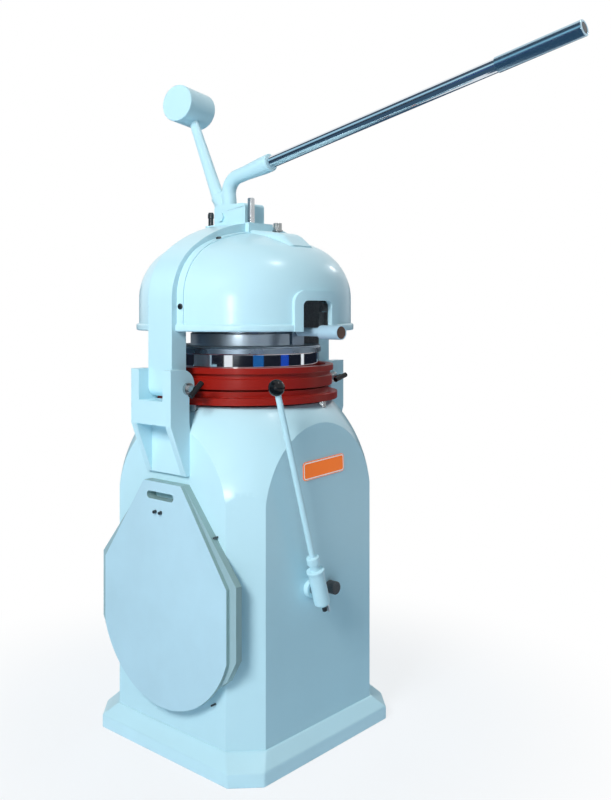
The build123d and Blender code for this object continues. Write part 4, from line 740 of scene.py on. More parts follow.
class Workshop:
    """Materials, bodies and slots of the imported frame, and ways to make pieces on it."""

    def __init__(self, frame: dict) -> None:
        """Read the frame's bodies and slots and make the finishes.
        """
        self.nodes = frame["nodes"]
        record = frame["record"]
        self.body_of = {n: b for b, nodes in record["behaviour"]["bodies"].items() for n in nodes}
        self.slot_of = {s["node"]: s["material_slot"] for s in record["subparts"]}
        self.finish = {slot: finish.make() for slot, finish in {**FINISHES, **EXTRA_FINISHES}.items()}

    def paint(self, *nodes: str, finish: str = "") -> None:
        """Give CAD nodes that stay in view their finish.

        Args:
            nodes: names of the nodes.
            finish: a finish other than the nodes' own.
        """
        for node in nodes:
            mesh = self.nodes[node].data
            mesh.materials.clear()
            mesh.materials.append(self.finish[finish or self.slot_of[node]])
            LOG.info("node %s", node)

    def keep(self, piece: bpy.types.Object, body: str, slot: str, *replaced: str,
             finish: str = "") -> bpy.types.Object:
        """Put a finished piece on its body.

        Args:
            piece: the piece's object.
            body: name of the body it moves with.
            slot: material slot of the record that it takes its finish from.
            replaced: CAD nodes that it stands for.
            finish: a finish other than the slot's own.

        Returns:
            The piece.
        """
        if not piece.data.materials:
            piece.data.materials.append(self.finish[finish or slot])
        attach(piece, body)
        if replaced:
            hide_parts(*replaced)
        LOG.info("piece %s on %s", piece.name, body)
        return piece

    def turned(self, name: str, start: Point, way: Point, profile: Profile, sides: int = 72,
               closed: bool = False, sharp: float = 40.0) -> bpy.types.Object:
        """Turn a profile about a line.

        Args:
            name: name of the piece.
            start: point on the line where distances start.
            way: direction of the line.
            profile: points of distance along the line and radius; a radius of zero is a pole.
            sides: faces round the line.
            closed: whether the profile joins its own start, as a ring's does.
            sharp: angle in degrees above which edges stay sharp.

        Returns:
            The piece, not yet on a body.
        """
        axis = Vector(way).normalized()
        across = axis.orthogonal().normalized()
        other = axis.cross(across)
        work = bmesh.new()
        rings = []
        for along, radius in profile:
            middle = Vector(start) + axis * along
            if radius < POLE_RADIUS:
                rings.append([work.verts.new(middle)] * sides)
                continue
            turns = [math.tau * i / sides for i in range(sides)]
            rings.append([work.verts.new(middle + (across * math.cos(a) + other * math.sin(a)) * radius)
                          for a in turns])
        pairs = list(zip(rings, rings[1:])) + ([(rings[-1], rings[0])] if closed else [])
        for low, high in pairs:
            for i in range(sides):
                j = (i + 1) % sides
                corners = list(dict.fromkeys((low[i], low[j], high[j], high[i])))
                if len(corners) > 2:
                    work.faces.new(corners)
        mesh = outward(work, name)
        smoothed(mesh, sharp)
        return placed(name, mesh)

    def two_tone(self, piece: bpy.types.Object, first: str, second: str,
                 takes_second: Callable[[Vector, Vector], bool]) -> None:
        """Give a piece two finishes.

        Args:
            piece: the piece.
            first: its main finish.
            second: the finish of the faces that are picked.
            takes_second: test of a face's middle and normal.
        """
        piece.data.materials.clear()
        for finish in (first, second):
            piece.data.materials.append(self.finish[finish])
        for face in piece.data.polygons:
            face.material_index = int(takes_second(face.center, face.normal))

    def points(self, name: str, places: list[Place]) -> bpy.types.Object:
        """Object with one point for each fastener.

        Args:
            name: name of the piece.
            places: point and outward axis of each.

        Returns:
            The object, with the axes in an attribute.
        """
        mesh = bpy.data.meshes.new(name)
        mesh.from_pydata([place for place, _ in places], [], [])
        attribute = mesh.attributes.new("axis", "FLOAT_VECTOR", "POINT")
        for item, (_, axis) in zip(attribute.data, places):
            item.vector = axis
        return placed(name, mesh)

    def merged_copy(self, node: str, flat: float = 0.4, cuts: Cuts = ()) -> bpy.types.Mesh:
        """Copy of a CAD node's mesh with its triangles joined into whole faces.

        Args:
            node: name of the node.
            flat: angle in degrees under which faces join.
            cuts: planes at which faces are divided, each a point and a normal.

        Returns:
            The copy.
        """
        mesh = self.nodes[node].data.copy()
        mesh.materials.clear()
        work = bmesh.new()
        work.from_mesh(mesh)
        bmesh.ops.remove_doubles(work, verts=work.verts, dist=MERGE_GAP)
        bmesh.ops.dissolve_limit(work, angle_limit=math.radians(flat), verts=work.verts, edges=work.edges)
        for place, way in cuts:
            parts = work.verts[:] + work.edges[:] + work.faces[:]
            bmesh.ops.bisect_plane(work, geom=parts, plane_co=place, plane_no=way)
        work.to_mesh(mesh)
        work.free()
        return mesh

    def soften(self, node: str, width: float, how: Edge = Edge.BEVEL, segments: int = 3,
               finish: str = "", cuts: Cuts = ()) -> bpy.types.Object:
        """Replace a CAD node by a copy with rounded edges.

        Args:
            node: name of the CAD node.
            width: edge width for a bevel, or voxel size for a casting, in metres.
            how: bevelled sheet and bar, or the blended skin of a casting.
            segments: faces across a bevel, or half the smoothing passes of a casting.
            finish: a finish other than the node's own.
            cuts: planes at which faces are divided, each a point and a normal.

        Returns:
            The new piece.
        """
        piece = placed(f"{node}_soft", self.merged_copy(node, cuts=cuts))
        piece.data.shade_smooth()
        if how is Edge.BEVEL:
            bevel = piece.modifiers.new("edges", "BEVEL")
            bevel.width = width
            bevel.segments = segments
            bevel.limit_method = "ANGLE"
            bevel.angle_limit = math.radians(BEVEL_ANGLE)
            bevel.miter_outer = "MITER_ARC"
            weigh = piece.modifiers.new("even", "WEIGHTED_NORMAL")
            weigh.keep_sharp = True
        else:
            remesh = piece.modifiers.new("skin", "REMESH")
            remesh.mode = "VOXEL"
            remesh.voxel_size = width
            remesh.use_smooth_shade = True
            smooth = piece.modifiers.new("flow", "SMOOTH")
            smooth.factor = 0.5
            smooth.iterations = 2 * segments
        applied(piece)
        return self.keep(piece, self.body_of[node], self.slot_of[node], node, finish=finish)


@dataclass
class Pedestal:
    """Plinth, pedestal, rear cover and the pieces on their faces."""

    edge: float = 0.005
    plinth_edge: float = 0.004
    line_width: float = 0.0034
    line_inset: float = 0.0016
    line_corner: float = 0.008
    line_bevel: float = 0.0004
    line_proud: float = 0.00016
    line_sunk: float = 0.0002
    arc_steps: int = 8
    badge: Pair = (0.160, 0.046)
    badge_turn: float = 2.5
    screw_inset: float = 0.009
    hood_start: float = 0.0705
    screw: Fastener = Fastener("cover_screws", head_radius=0.006, head_height=0.004, socket_radius=0.0026,
                               socket_depth=0.0022, shank_length=0.010)
    hoods: Louvres = Louvres(count=7, pitch=0.016, width=0.146, radius=0.0065, proud=0.85)

    def badge_line(self, shop: Workshop) -> None:
        """Set a pale raised line inside the plate's edge.

        Args:
            shop: the workshop.
        """
        low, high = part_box("badge_plate")
        middle = (Vector(low) + Vector(high)) / 2
        turn = math.radians(self.badge_turn)
        half_x, half_z = self.badge[0] / 2, self.badge[1] / 2
        sunk, proud = low[1] + self.line_sunk, low[1] - self.line_proud
        work = bmesh.new()
        loops = []
        for inward, y in ((0.0, sunk), (self.line_bevel, proud), (self.line_width - self.line_bevel, proud),
                          (self.line_width, sunk)):
            inset, corner = self.line_inset + inward, self.line_corner - inward
            loop = []
            for sx, sz, quarter in ((1, 1, 0), (-1, 1, 90), (-1, -1, 180), (1, -1, 270)):
                cx = sx * (half_x - inset - corner)
                cz = sz * (half_z - inset - corner)
                for i in range(self.arc_steps + 1):
                    a = math.radians(quarter + i * 90 / self.arc_steps)
                    x, z = cx + corner * math.cos(a), cz + corner * math.sin(a)
                    place = (middle.x + x * math.cos(turn) - z * math.sin(turn), y,
                             middle.z + x * math.sin(turn) + z * math.cos(turn))
                    loop.append(work.verts.new(place))
            loops.append(loop)
        for inner, outer in zip(loops, loops[1:]):
            for i in range(len(inner)):
                j = (i + 1) % len(inner)
                work.faces.new((inner[i], inner[j], outer[j], outer[i]))
        line = placed("badge_line", outward(work, "badge_line"))
        shop.keep(line, Body.FRAME.value, "badge_orange", finish="pale_line")

    def build(self, shop: Workshop) -> None:
        """Dress the pedestal.

        Args:
            shop: the workshop.
        """
        shop.soften("pedestal_body", self.edge, segments=4)
        shop.soften("base_plinth", self.plinth_edge)
        shop.soften("rear_cover", width=0.001, segments=2)
        shop.soften("badge_plate", width=0.0006, segments=2)
        self.badge_line(shop)
        shop.soften("cable_gland", width=0.0012, segments=2)
        shop.soften("shaft_bushing", width=0.002)
        low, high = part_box("rear_cover")
        x = high[0] - self.screw_inset
        heights = (low[2] + self.screw_inset, (low[2] + high[2]) / 2, high[2] - self.screw_inset)
        places = [((s * x, high[1], z), BACK) for s in (-1, 1) for z in heights]
        screws = self.screw.recipe(shop.finish["steel"]).bake(shop.points("cover_screws", places))
        shop.keep(screws, Body.FRAME.value, "steel", "rear_cover_screws")
        start = ((0.0, high[1], low[2] + self.hood_start), BACK)
        hoods = self.hoods.recipe(shop.finish["white_paint"]).bake(shop.points("louvre_hoods", [start]))
        shop.keep(hoods, Body.FRAME.value, "white_paint")
        shop.soften("lever_bumper", width=0.0015, segments=2)
        shop.soften("board_pegs", width=0.001, segments=2, finish="dark_screw")


@dataclass
class ArchAndDome:
    """Arch, dome shells, brackets, pins and the lever block on the crown."""

    screw_y: float = 0.057
    low_screw: Pair = (0.2895, 1.118)
    high_screw_r: float = 0.165
    inner_spring: float = 1.14
    inner_reach: float = 0.284
    painted_shade_from: float = 1.012
    rim_z: float = 1.056
    leg_in_dome: float = 0.2774
    facing_in: float = -0.35
    facing_side: float = 0.5
    wing_y: float = -0.1005
    crown_r: float = 0.4767
    crown_centre: float = 0.8460
    screw: Fastener = Fastener("dome_screws", head_radius=0.007, head_height=0.0042, chamfer=0.0018,
                               socket_radius=0.003, socket_depth=0.0026, shank_length=0.010)

    def inside(self, middle: Vector, normal: Vector) -> bool:
        """Test whether a face of the shells or the arch looks into the dome, where it takes painted shade.

        Args:
            middle: the face's middle.
            normal: its normal.

        Returns:
            Whether it does.
        """
        level = Vector((middle.x, middle.y, max(0.0, middle.z - self.inner_spring)))
        faces_in = level.normalized().dot(normal) < self.facing_in
        return faces_in and level.length < self.inner_reach and middle.z > self.painted_shade_from

    def unseen_arch(self, middle: Vector, normal: Vector) -> bool:
        """Whether a face of the arch looks into the dome or is a leg's side within it, where it takes painted
        shade.
        """
        in_leg = abs(middle.x) < self.leg_in_dome and self.rim_z < middle.z < self.inner_spring
        return (in_leg and abs(normal.y) > self.facing_side) or self.inside(middle, normal)

    def screw_places(self) -> list[Place]:
        """Find the screws along the shells' raised edges.

        Returns:
            Point and outward axis of each.
        """
        places = []
        wall, height = self.low_screw
        up = math.sqrt(self.crown_r ** 2 - self.high_screw_r ** 2)
        for sx in (-1, 1):
            for sy in (-1, 1):
                y = sy * self.screw_y
                x = sx * math.sqrt(wall ** 2 - y * y)
                places.append(((x, y, height), (x / wall, y / wall, 0.0)))
                x = sx * math.sqrt(self.high_screw_r ** 2 - y * y)
                axis = Vector((x, y, up)).normalized()
                places.append(((x, y, self.crown_centre + up), tuple(axis)))
        return places

    def build(self, shop: Workshop) -> None:
        """Dress the arch and dome.

        Args:
            shop: the workshop.
        """
        # Faces inside the dome and the legs' sides within it take a darker grey as painted shade; the cuts
        # split faces at its edges.
        levels = [((0.0, 0.0, z), UP) for z in (self.painted_shade_from, self.rim_z, self.inner_spring)]
        walls = [((side * self.leg_in_dome, 0.0, 0.0), (1.0, 0.0, 0.0)) for side in (-1, 1)]
        arch = shop.soften("arch_frame", width=0.005, segments=4, cuts=tuple(levels + walls))
        shop.two_tone(arch, "white_paint", "dome_inside_shade", self.unseen_arch)
        for side in ("front", "rear"):
            shell = shop.soften(f"{side}_dome_shell", width=0.0022)
            shop.two_tone(shell, "white_paint", "dome_inside_shade", self.inside)
        for side in ("left", "right"):
            shop.soften(f"{side}_bracket", width=0.004)
        shop.soften("lever_block", width=0.004)
        pins = shop.soften("arch_pins", width=0.0012, segments=2)
        shop.two_tone(pins, "steel", "black_plastic", lambda middle, normal: middle.y < self.wing_y)
        places = shop.points("dome_screw_heads", self.screw_places())
        screws = self.screw.recipe(shop.finish["dark_screw"]).bake(places)
        shop.keep(screws, Body.FRAME.value, "steel", "dome_screws")
        shop.soften("crown_bolt", width=0.001, segments=2, finish="bolt_steel")
        shop.soften("lever_stop_pin", width=0.0015, segments=2)
        shop.soften("oil_cup", width=0.001, segments=2, finish="dark_screw")
        shop.paint("pin_clips", "ram_guide_bush")


@dataclass
class PressHead:
    """Press ring, drum, lock and the pieces inside them."""

    ring_r: float = 0.197
    ring_bore: float = 0.187
    flange_r: float = 0.205
    flange: float = 0.015
    flange_slack: float = 0.0002
    upright: float = 0.3
    ring_corner: float = 0.0018
    ring_sides: int = 160
    handle_turn: float = -6.0
    stem: Pair = (0.214, 0.011)
    grip: tuple[float, float, float] = (0.299, 0.370, 0.0175)
    grip_corner: float = 0.003
    recess: Pair = (0.004, 0.0152)
    disc_r: float = 0.0150
    disc_back: float = 0.005
    disc_edge: float = 0.0008
    disc_middle: float = 0.0014
    disc_corner: float = 0.0006

    def ring(self, shop: Workshop) -> None:
        """Turn the polished press ring.

        Args:
            shop: the workshop.
        """
        low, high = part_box("press_ring")
        tall = high[2] - low[2]
        step = tall - self.flange
        outline = [(0.0, self.ring_bore), (0.0, self.ring_r), (step, self.ring_r), (step, self.flange_r),
                   (tall, self.flange_r), (tall, self.ring_bore)]
        start, profile = (0.0, 0.0, low[2]), rounded(outline, self.ring_corner)
        piece = shop.turned("press_ring_turned", start, UP, profile, self.ring_sides, closed=True)
        bottom = low[2] + step - self.flange_slack
        # The flange's upright faces take darker blue steel, a painted dark reflection on the one polished
        # ring.
        shop.two_tone(piece, "polished_steel", "steel_painted_shade_and_reflection",
                      lambda middle, normal: middle.z > bottom and abs(normal.z) < self.upright)
        shop.keep(piece, shop.body_of["press_ring"], "polished_steel", "press_ring")

    def handle(self, shop: Workshop) -> None:
        """Turn the lock handle's stem and grip, and its end disc.

        Args:
            shop: the workshop.
        """
        low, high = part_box("lock_handle")
        turn = math.radians(self.handle_turn)
        way = (math.sin(turn), -math.cos(turn), 0.0)
        start = (0.0, 0.0, (low[2] + high[2]) / 2)
        begin, thin = self.stem
        near, end, thick = self.grip
        deep, wide = self.recess
        outline = [(begin, 0.0), (begin, thin), (near, thin), (near, thick), (end, thick), (end, wide),
                   (end - deep, wide), (end - deep, 0.0)]
        piece = shop.turned("lock_handle_turned", start, way, rounded(outline, self.grip_corner))
        shop.keep(piece, Body.LOCK.value, "steel", "lock_handle", finish="grip_metal")
        outline = [(end - self.disc_back, 0.0), (end - self.disc_back, self.disc_r),
                   (end - self.disc_edge, self.disc_r), (end - self.disc_middle, 0.0)]
        piece = shop.turned("lock_handle_disc", start, way, rounded(outline, self.disc_corner))
        shop.keep(piece, Body.LOCK.value, "black_plastic", finish="brown_end")

    def build(self, shop: Workshop) -> None:
        """Dress the press head.

        Args:
            shop: the workshop.
        """
        self.ring(shop)
        self.handle(shop)
        # The drum's finish carries a painted blue reflection in its colour.
        shop.soften("press_drum", width=0.002, finish="drum_metal")
        # The lock ring takes the darker steel as painted shade under the dome.
        shop.soften("lock_ring", width=0.001, segments=2, finish="steel_painted_shade_and_reflection")
        shop.paint("knife_star", "inner_pistons", "middle_pistons", "outer_pistons", "press_ram")


@dataclass
class RoundingTable:
    """Bed, orbiting table, moulding plate and the drive under them."""

    bolt_circle: float = 0.236
    bolt_turn: float = 12.0
    bolt_count: int = 4
    bolt_top: float = 0.012
    bolt: Fastener = Fastener("bed_bolts", head_radius=0.011, head_height=0.017, sides=HEX_SIDES,
                              chamfer=0.0012, shank_radius=0.005, shank_length=0.012)

    def build(self, shop: Workshop) -> None:
        """Dress the table.

        Args:
            shop: the workshop.
        """
        shop.soften("table_bed", width=0.0025)
        shop.soften("rounding_table", width=0.003)
        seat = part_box("table_bed")[0][2] + self.bolt_top - self.bolt.head_height
        turns = [math.radians(self.bolt_turn + 360.0 * i / self.bolt_count) for i in range(self.bolt_count)]
        places = [((self.bolt_circle * math.cos(a), self.bolt_circle * math.sin(a), seat), UP) for a in turns]
        bolts = self.bolt.recipe(shop.finish["steel"]).bake(shop.points("bed_bolt_heads", places))
        shop.keep(bolts, Body.FRAME.value, "steel", "bed_bolts")
        shop.paint("moulding_plate", "spindle_housing", "spindle_bearings", "eccentric_spindle",
                   "spindle_nut", "clutch_collar", "driven_pulley", "drive_belt", "motor", "motor_plate",
                   "motor_pulley", "guide_crank_left", "guide_crank_right")


@dataclass
class PressLever:
    """Lever casting, tube, grip, counterweight and gear."""

    socket_end: Point = (0.0, -0.095, 1.5037)
    neck_corner: Point = (0.0, 0.071, 1.470)
    tube_r: float = 0.0162
    socket_r: float = 0.0241
    socket_rim: float = 0.028
    socket_deep: float = 0.070
    grip_start: float = 0.6911
    grip_length: float = 0.2026
    grip_r: float = 0.018
    tube_in_grip: float = 0.1
    tube_corner: float = 0.001
    rim_corner: float = 0.003
    grip_corner: float = 0.0022
    rim_lap: float = 0.0002
    recess: Pair = (0.003, 0.0125)
    plug_r: float = 0.0122
    plug_back: float = 0.008
    plug_edge: float = 0.0004
    plug_middle: float = 0.0002
    plug_corner: float = 0.0012
    sides: int = 96
    rod_start: Point = (0.0, 0.096, 1.397)
    weight_at: Point = (0.0, 0.2321, 1.6974)
    rod_radii: Pair = (0.018, 0.013)
    rod_ends: Pair = (0.034, 0.03)
    rod_corner: float = 0.004
    weight_r: float = 0.0526
    weight_long: float = 0.112
    weight_turn: float = 10.0
    weight_corner: float = 0.0035

    def tube(self, shop: Workshop) -> None:
        """Turn the chrome tube, its grip and the plug in the grip's end.

        Args:
            shop: the workshop.
        """
        way = tuple(Vector(self.socket_end) - Vector(self.neck_corner))
        start, end = self.grip_start, self.grip_start + self.grip_length
        inside = start + self.tube_in_grip
        outline = [(-self.socket_deep, 0.0), (-self.socket_deep, self.tube_r), (inside, self.tube_r),
                   (inside, 0.0)]
        profile = rounded(outline, self.tube_corner)
        piece = shop.turned("lever_tube_turned", self.socket_end, way, profile, self.sides)
        shop.keep(piece, Body.LEVER.value, "polished_steel", "lever_tube")
        outline = [(-self.socket_rim, self.tube_r), (-self.socket_rim, self.socket_r),
                   (self.rim_lap, self.socket_r), (self.rim_lap, self.tube_r)]
        profile = rounded(outline, self.rim_corner)
        piece = shop.turned("tube_socket_rim", self.socket_end, way, profile, self.sides, closed=True)
        shop.keep(piece, Body.LEVER.value, "white_paint")
        deep, wide = self.recess
        outline = [(start, self.tube_r), (start, self.grip_r), (end, self.grip_r), (end, wide),
                   (end - deep, wide), (end - deep, 0.0)]
        profile = rounded(outline, self.grip_corner)
        piece = shop.turned("lever_grip_turned", self.socket_end, way, profile, self.sides)
        shop.keep(piece, Body.LEVER.value, "polished_steel", "lever_grip", finish="sleeve_metal")
        outline = [(end - self.plug_back, 0.0), (end - self.plug_back, self.plug_r),
                   (end - self.plug_edge, self.plug_r), (end - self.plug_middle, 0.0)]
        piece = shop.turned("grip_plug", self.socket_end, way, rounded(outline, self.plug_corner))
        shop.keep(piece, Body.LEVER.value, "black_plastic", finish="grip_end")

    def weight(self, shop: Workshop) -> None:
        """Turn the counterweight and its rod.

        Args:
            shop: the workshop.
        """
        way = Vector(self.weight_at) - Vector(self.rod_start)
        far = way.length
        thick, thin = self.rod_radii
        first, last = self.rod_ends
        outline = [(0.0, 0.0), (0.0, thick), (first, thick), (far - last, thin), (far, thin), (far, 0.0)]
        profile = rounded(outline, self.rod_corner)
        piece = shop.turned("counterweight_rod_turned", self.rod_start, tuple(way), profile)
        shop.keep(piece, Body.LEVER.value, "white_paint", "counterweight_rod")
        half = self.weight_long / 2
        turn = math.radians(self.weight_turn)
        across = Vector((1.0, 0.0, 0.0))
        axis = across * math.cos(turn) + way.normalized().cross(across) * math.sin(turn)
        outline = [(-half, 0.0), (-half, self.weight_r), (half, self.weight_r), (half, 0.0)]
        profile = rounded(outline, self.weight_corner)
        piece = shop.turned("counterweight_turned", self.weight_at, tuple(axis), profile, self.sides)
        shop.keep(piece, Body.LEVER.value, "white_paint", "counterweight")

    def build(self, shop: Workshop) -> None:
        """Dress the press lever.

        Args:
            shop: the workshop.
        """
        shop.soften("press_lever", width=0.0016, how=Edge.CAST, segments=6)
        self.tube(shop)
        self.weight(shop)
        shop.paint("sector_gear")
        shop.paint("pivot_shaft", finish="white_paint")


@dataclass
class RoundingLever:
    """Rounding lever with its ball, shaft and fork."""

    foot: Point = (-0.048, -0.306, 0.415)
    lean: float = 17.0
    ball_at: float = 0.535
    ball_r: float = 0.020
    rod_r: float = 0.0075
    rod_in_ball: float = 0.010
    neck_r: float = 0.011
    neck_wall: float = 0.001
    ball_steps: int = 24
    tail: float = 0.040
    tail_r: float = 0.013
    steps: tuple[Pair, ...] = ((-0.033, 0.020), (0.052, 0.020), (0.058, 0.0225), (0.075, 0.0125),
                               (0.093, 0.016))
    corner: float = 0.002
    dark_screw: Fastener = Fastener("tail_screw", head_radius=0.0062, head_height=0.014, chamfer=0.0012,
                                    socket_radius=0.003, socket_depth=0.004, shank_length=0.008)
    dark_screw_at: Point = (-0.002, -0.0055, 0.0)
    pale_stud: Fastener = Fastener("tail_stud", head_radius=0.0040, head_height=0.018, chamfer=0.001,
                                   shank_length=0.008)
    pale_stud_at: Point = (0.0090, -0.0080, 0.0)

    def way(self) -> Vector:
        """Direction of the lever from its hub to its ball."""
        turn = math.radians(self.lean)
        return Vector((-math.sin(turn), 0.0, math.cos(turn)))

    def build(self, shop: Workshop) -> None:
        """Dress the rounding lever.

        Args:
            shop: the workshop.
        """
        way = self.way()
        outline = [(-self.tail, 0.0), (-self.tail, self.tail_r), self.steps[0], self.steps[1]]
        for (start, _), (end, radius) in zip(self.steps[1:], self.steps[2:]):
            outline += [(start, radius), (end, radius)]
        top = self.ball_at - self.rod_in_ball
        outline += [(self.steps[-1][0], self.rod_r), (top, self.rod_r), (top, 0.0)]
        piece = shop.turned("rounding_lever_turned", self.foot, tuple(way), rounded(outline, self.corner))
        shop.keep(piece, Body.CLUTCH.value, "white_paint", "rounding_lever")
        neck = self.ball_at - math.sqrt(self.ball_r ** 2 - self.neck_r ** 2)
        outline = [(neck, self.rod_r - self.neck_wall), (neck, self.neck_r)]
        first = math.acos(-(self.ball_at - neck) / self.ball_r)
        for i in range(1, self.ball_steps):
            turn = first * (1 - i / self.ball_steps)
            outline.append((self.ball_at + self.ball_r * math.cos(turn), self.ball_r * math.sin(turn)))
        outline.append((self.ball_at + self.ball_r, 0.0))
        piece = shop.turned("lever_ball_turned", self.foot, tuple(way), outline)
        shop.keep(piece, Body.CLUTCH.value, "black_plastic", "lever_ball")
        end = Vector(self.foot) - way * self.tail
        down = tuple(-way)
        for screw, shift, finish in ((self.dark_screw, self.dark_screw_at, "dark_screw"),
                                     (self.pale_stud, self.pale_stud_at, "satin_steel")):
            place = (tuple(end + Vector(shift)), down)
            made = screw.recipe(shop.finish[finish]).bake(shop.points(screw.name, [place]))
            shop.keep(made, Body.CLUTCH.value, "steel")
        shop.paint("clutch_shaft", "shift_fork")


@dataclass
class MouldingBoards:
    """Two boards on the pedestal's left side."""

    edge: float = 0.0018
    facing_side: float = 0.8

    def build(self, shop: Workshop) -> None:
        """Dress the boards, with painted shade on their edges and on the whole rear board, which the front
        one shades.

        Args:
            shop: the workshop.
        """
        # Painted shade: the boards' edges and the whole rear board, shaded by the front board, get darker
        # colours.
        for node, face in (("front_board", "board_plastic"), ("rear_board", "rear_board_shade")):
            board = shop.soften(node, self.edge)
            shop.two_tone(board, face, "board_edge_shade", lambda middle, normal: abs(normal.x) < self.facing_side)


@dataclass(frozen=True)
class Card:
    """Upright panel round the object that only reflections show, its angles counted to the camera's right."""

    name: str
    start: float
    end: float
    low: float
    high: float
    colour: Colour
    distance: float = 5.0


@dataclass(frozen=True)
class Lamp:
    """Square area lamp that gives soft light, or one that only gloss shows as a glint."""

    name: str
    place: Point
    target: Point
    size: float
    power: float
    colour: Colour
    glint: bool = False


@dataclass
class Studio:
    """Floor, background, lamps, reflection cards and the photograph's camera, its sensor in millimetres."""

    distance: float = 2.47727
    height: float = 1.10534
    azimuth: float = 44.97
    yaw: float = 3.78
    focal_px: float = 903.48
    horizon_px: float = 311.63
    image: tuple[int, int] = (611, 800)
    sensor: float = 36.0
    ambient: float = 0.175
    ambient_colour: Colour = (0.55, 0.85, 1.0)
    floor_colour: Colour = (0.78, 0.87, 0.97)
    floor_fade: tuple[float, float, float] = (0.45, 1.25, 0.78)
    floor_half: float = 12.0
    lamps: tuple[Lamp, ...] = (
        Lamp("key", (-3.5, -0.9, 3.0), (0.0, 0.0, 0.8), 1.4, 134.0, (0.935, 0.99, 1.0)),
        Lamp("top_right", (2.6, -0.3, 3.6), (0.0, 0.0, 0.7), 2.0, 38.0, (0.92, 0.98, 1.0)),
        Lamp("back_rim", (1.8, 2.8, 2.6), (0.0, 0.0, 1.1), 2.2, 24.0, (0.92, 0.98, 1.0)),
        Lamp("left_glint", (-2.84, -1.64, 1.18), (0.0, 0.0, 1.1), 0.30, 12.0, (1.0, 1.0, 1.0), glint=True),
        Lamp("high_glint", (0.31, -1.44, 3.94), (0.0, 0.0, 1.2), 0.40, 14.0, (1.0, 1.0, 1.0), glint=True),
        Lamp("right_glint", (2.78, -0.15, 2.48), (0.0, 0.0, 1.2), 0.26, 4.0, (1.0, 1.0, 1.0), glint=True),
    )
    cards: tuple[Card, ...] = (
        Card("dark_far_left", -150.0, -64.0, 0.02, 0.87, (0.01, 0.012, 0.02)),
        Card("blue_left", -64.0, -53.0, 0.02, 0.87, (0.01, 0.06, 0.26)),
        Card("dark_left", -53.0, -33.0, 0.02, 0.87, (0.01, 0.012, 0.02)),
        Card("dark_middle", -20.0, 11.0, 0.02, 0.87, (0.01, 0.012, 0.02)),
        Card("blue_middle", 11.0, 27.0, 0.02, 0.87, (0.015, 0.12, 0.36)),
        Card("dark_right", 27.0, 55.0, 0.02, 0.87, (0.01, 0.012, 0.02)),
        Card("blue_right", 55.0, 69.0, 0.02, 0.87, (0.015, 0.07, 0.45)),
        Card("dark_slot", 69.0, 95.0, 0.02, 0.87, (0.01, 0.012, 0.02)),
        Card("dark_far_right", 102.0, 150.0, 0.02, 0.87, (0.01, 0.012, 0.02)),
        Card("dark_far_drum", -170.0, -96.0, 0.87, 1.0, (0.02, 0.03, 0.05)),
        Card("grey_far_drum", -96.0, -74.0, 0.87, 1.0, (0.17, 0.27, 0.30)),
        Card("grey_left_drum", -74.0, -53.0, 0.87, 1.0, (0.43, 0.50, 0.50)),
        Card("pale_drum", -31.0, 0.0, 0.87, 1.0, (0.45, 0.57, 0.65)),
        Card("grey_drum", 0.0, 33.0, 0.87, 1.0, (0.19, 0.25, 0.31)),
        Card("dark_drum", 33.0, 150.0, 0.87, 1.0, (0.10, 0.13, 0.17)),
        Card("dark_behind", 150.0, 210.0, 0.02, 1.6, (0.03, 0.05, 0.08)),
        Card("grey_left", -125.0, -35.0, 1.0, 2.0, (0.05, 0.09, 0.15)),
        Card("pale_left", -125.0, -35.0, 2.0, 4.2, (0.42, 0.68, 0.82)),
        Card("grey_high_left", -125.0, -35.0, 4.2, 12.0, (0.07, 0.10, 0.14)),
    )
    card_step: float = 6.0
    floor_cards: tuple[tuple[Pair, Pair], ...] = (
        ((-6.0, -1.5), (-0.36, 4.5)),
        ((0.5, 0.0), (5.0, 5.0)),
        ((-0.36, -1.3), (1.6, -0.36)),
    )
    floor_card_colour: Colour = (0.05, 0.10, 0.16)
    floor_card_z: float = 0.004

    def camera(self) -> None:
        """Make the photograph's camera."""
        data = bpy.data.cameras.new("photo_camera")
        data.sensor_width = self.sensor
        data.lens = self.focal_px / self.image[1] * self.sensor
        data.shift_y = (self.horizon_px - self.image[1] / 2) / self.image[1]
        camera = placed("photo_camera", data)
        turn = math.radians(self.azimuth)
        camera.location = (-self.distance * math.sin(turn), -self.distance * math.cos(turn), self.height)
        camera.rotation_euler = (math.pi / 2, 0.0, -math.radians(self.azimuth + self.yaw))
        bpy.context.scene.camera = camera

    def lights(self) -> None:
        """Make the soft lamps, and the small ones that the gloss shows."""
        for lamp in self.lamps:
            data = bpy.data.lights.new(lamp.name, "AREA")
            data.size = lamp.size
            data.energy = lamp.power
            data.color = lamp.colour
            made = placed(lamp.name, data)
            made.location = lamp.place
            made.visible_glossy = lamp.glint
            made.visible_diffuse = not lamp.glint
            way = Vector(lamp.target) - Vector(lamp.place)
            made.rotation_euler = way.to_track_quat("-Z", "Y").to_euler()

    def staged(self, name: str, corners: list[Point], faces: Faces,
               material: bpy.types.Material) -> bpy.types.Object:
        """Add a stage object.

        Args:
            name: name of the object.
            corners: its points.
            faces: its faces.
            material: its material.

        Returns:
            The object.
        """
        mesh = bpy.data.meshes.new(name)
        mesh.from_pydata(corners, [], faces)
        mesh.materials.append(material)
        made = placed(name, mesh)
        return made

    def panel(self, name: str, corners: list[Point], faces: Faces, colour: Colour) -> None:
        """Add a panel that only reflections show.

        Args:
            name: name of the panel.
            corners: its points.
            faces: its faces.
            colour: its colour.
        """
        material = bpy.data.materials.new(name)
        material.use_nodes = True
        sheet = NodeSheet(material.node_tree)
        glow = sheet.add("ShaderNodeEmission", {"Color": (*colour, 1.0)})
        sheet.add("ShaderNodeOutputMaterial", {"Surface": glow.outputs[0]})
        panel = self.staged(name, corners, faces, material)
        for ray in ("camera", "diffuse", "shadow", "transmission"):
            setattr(panel, f"visible_{ray}", False)

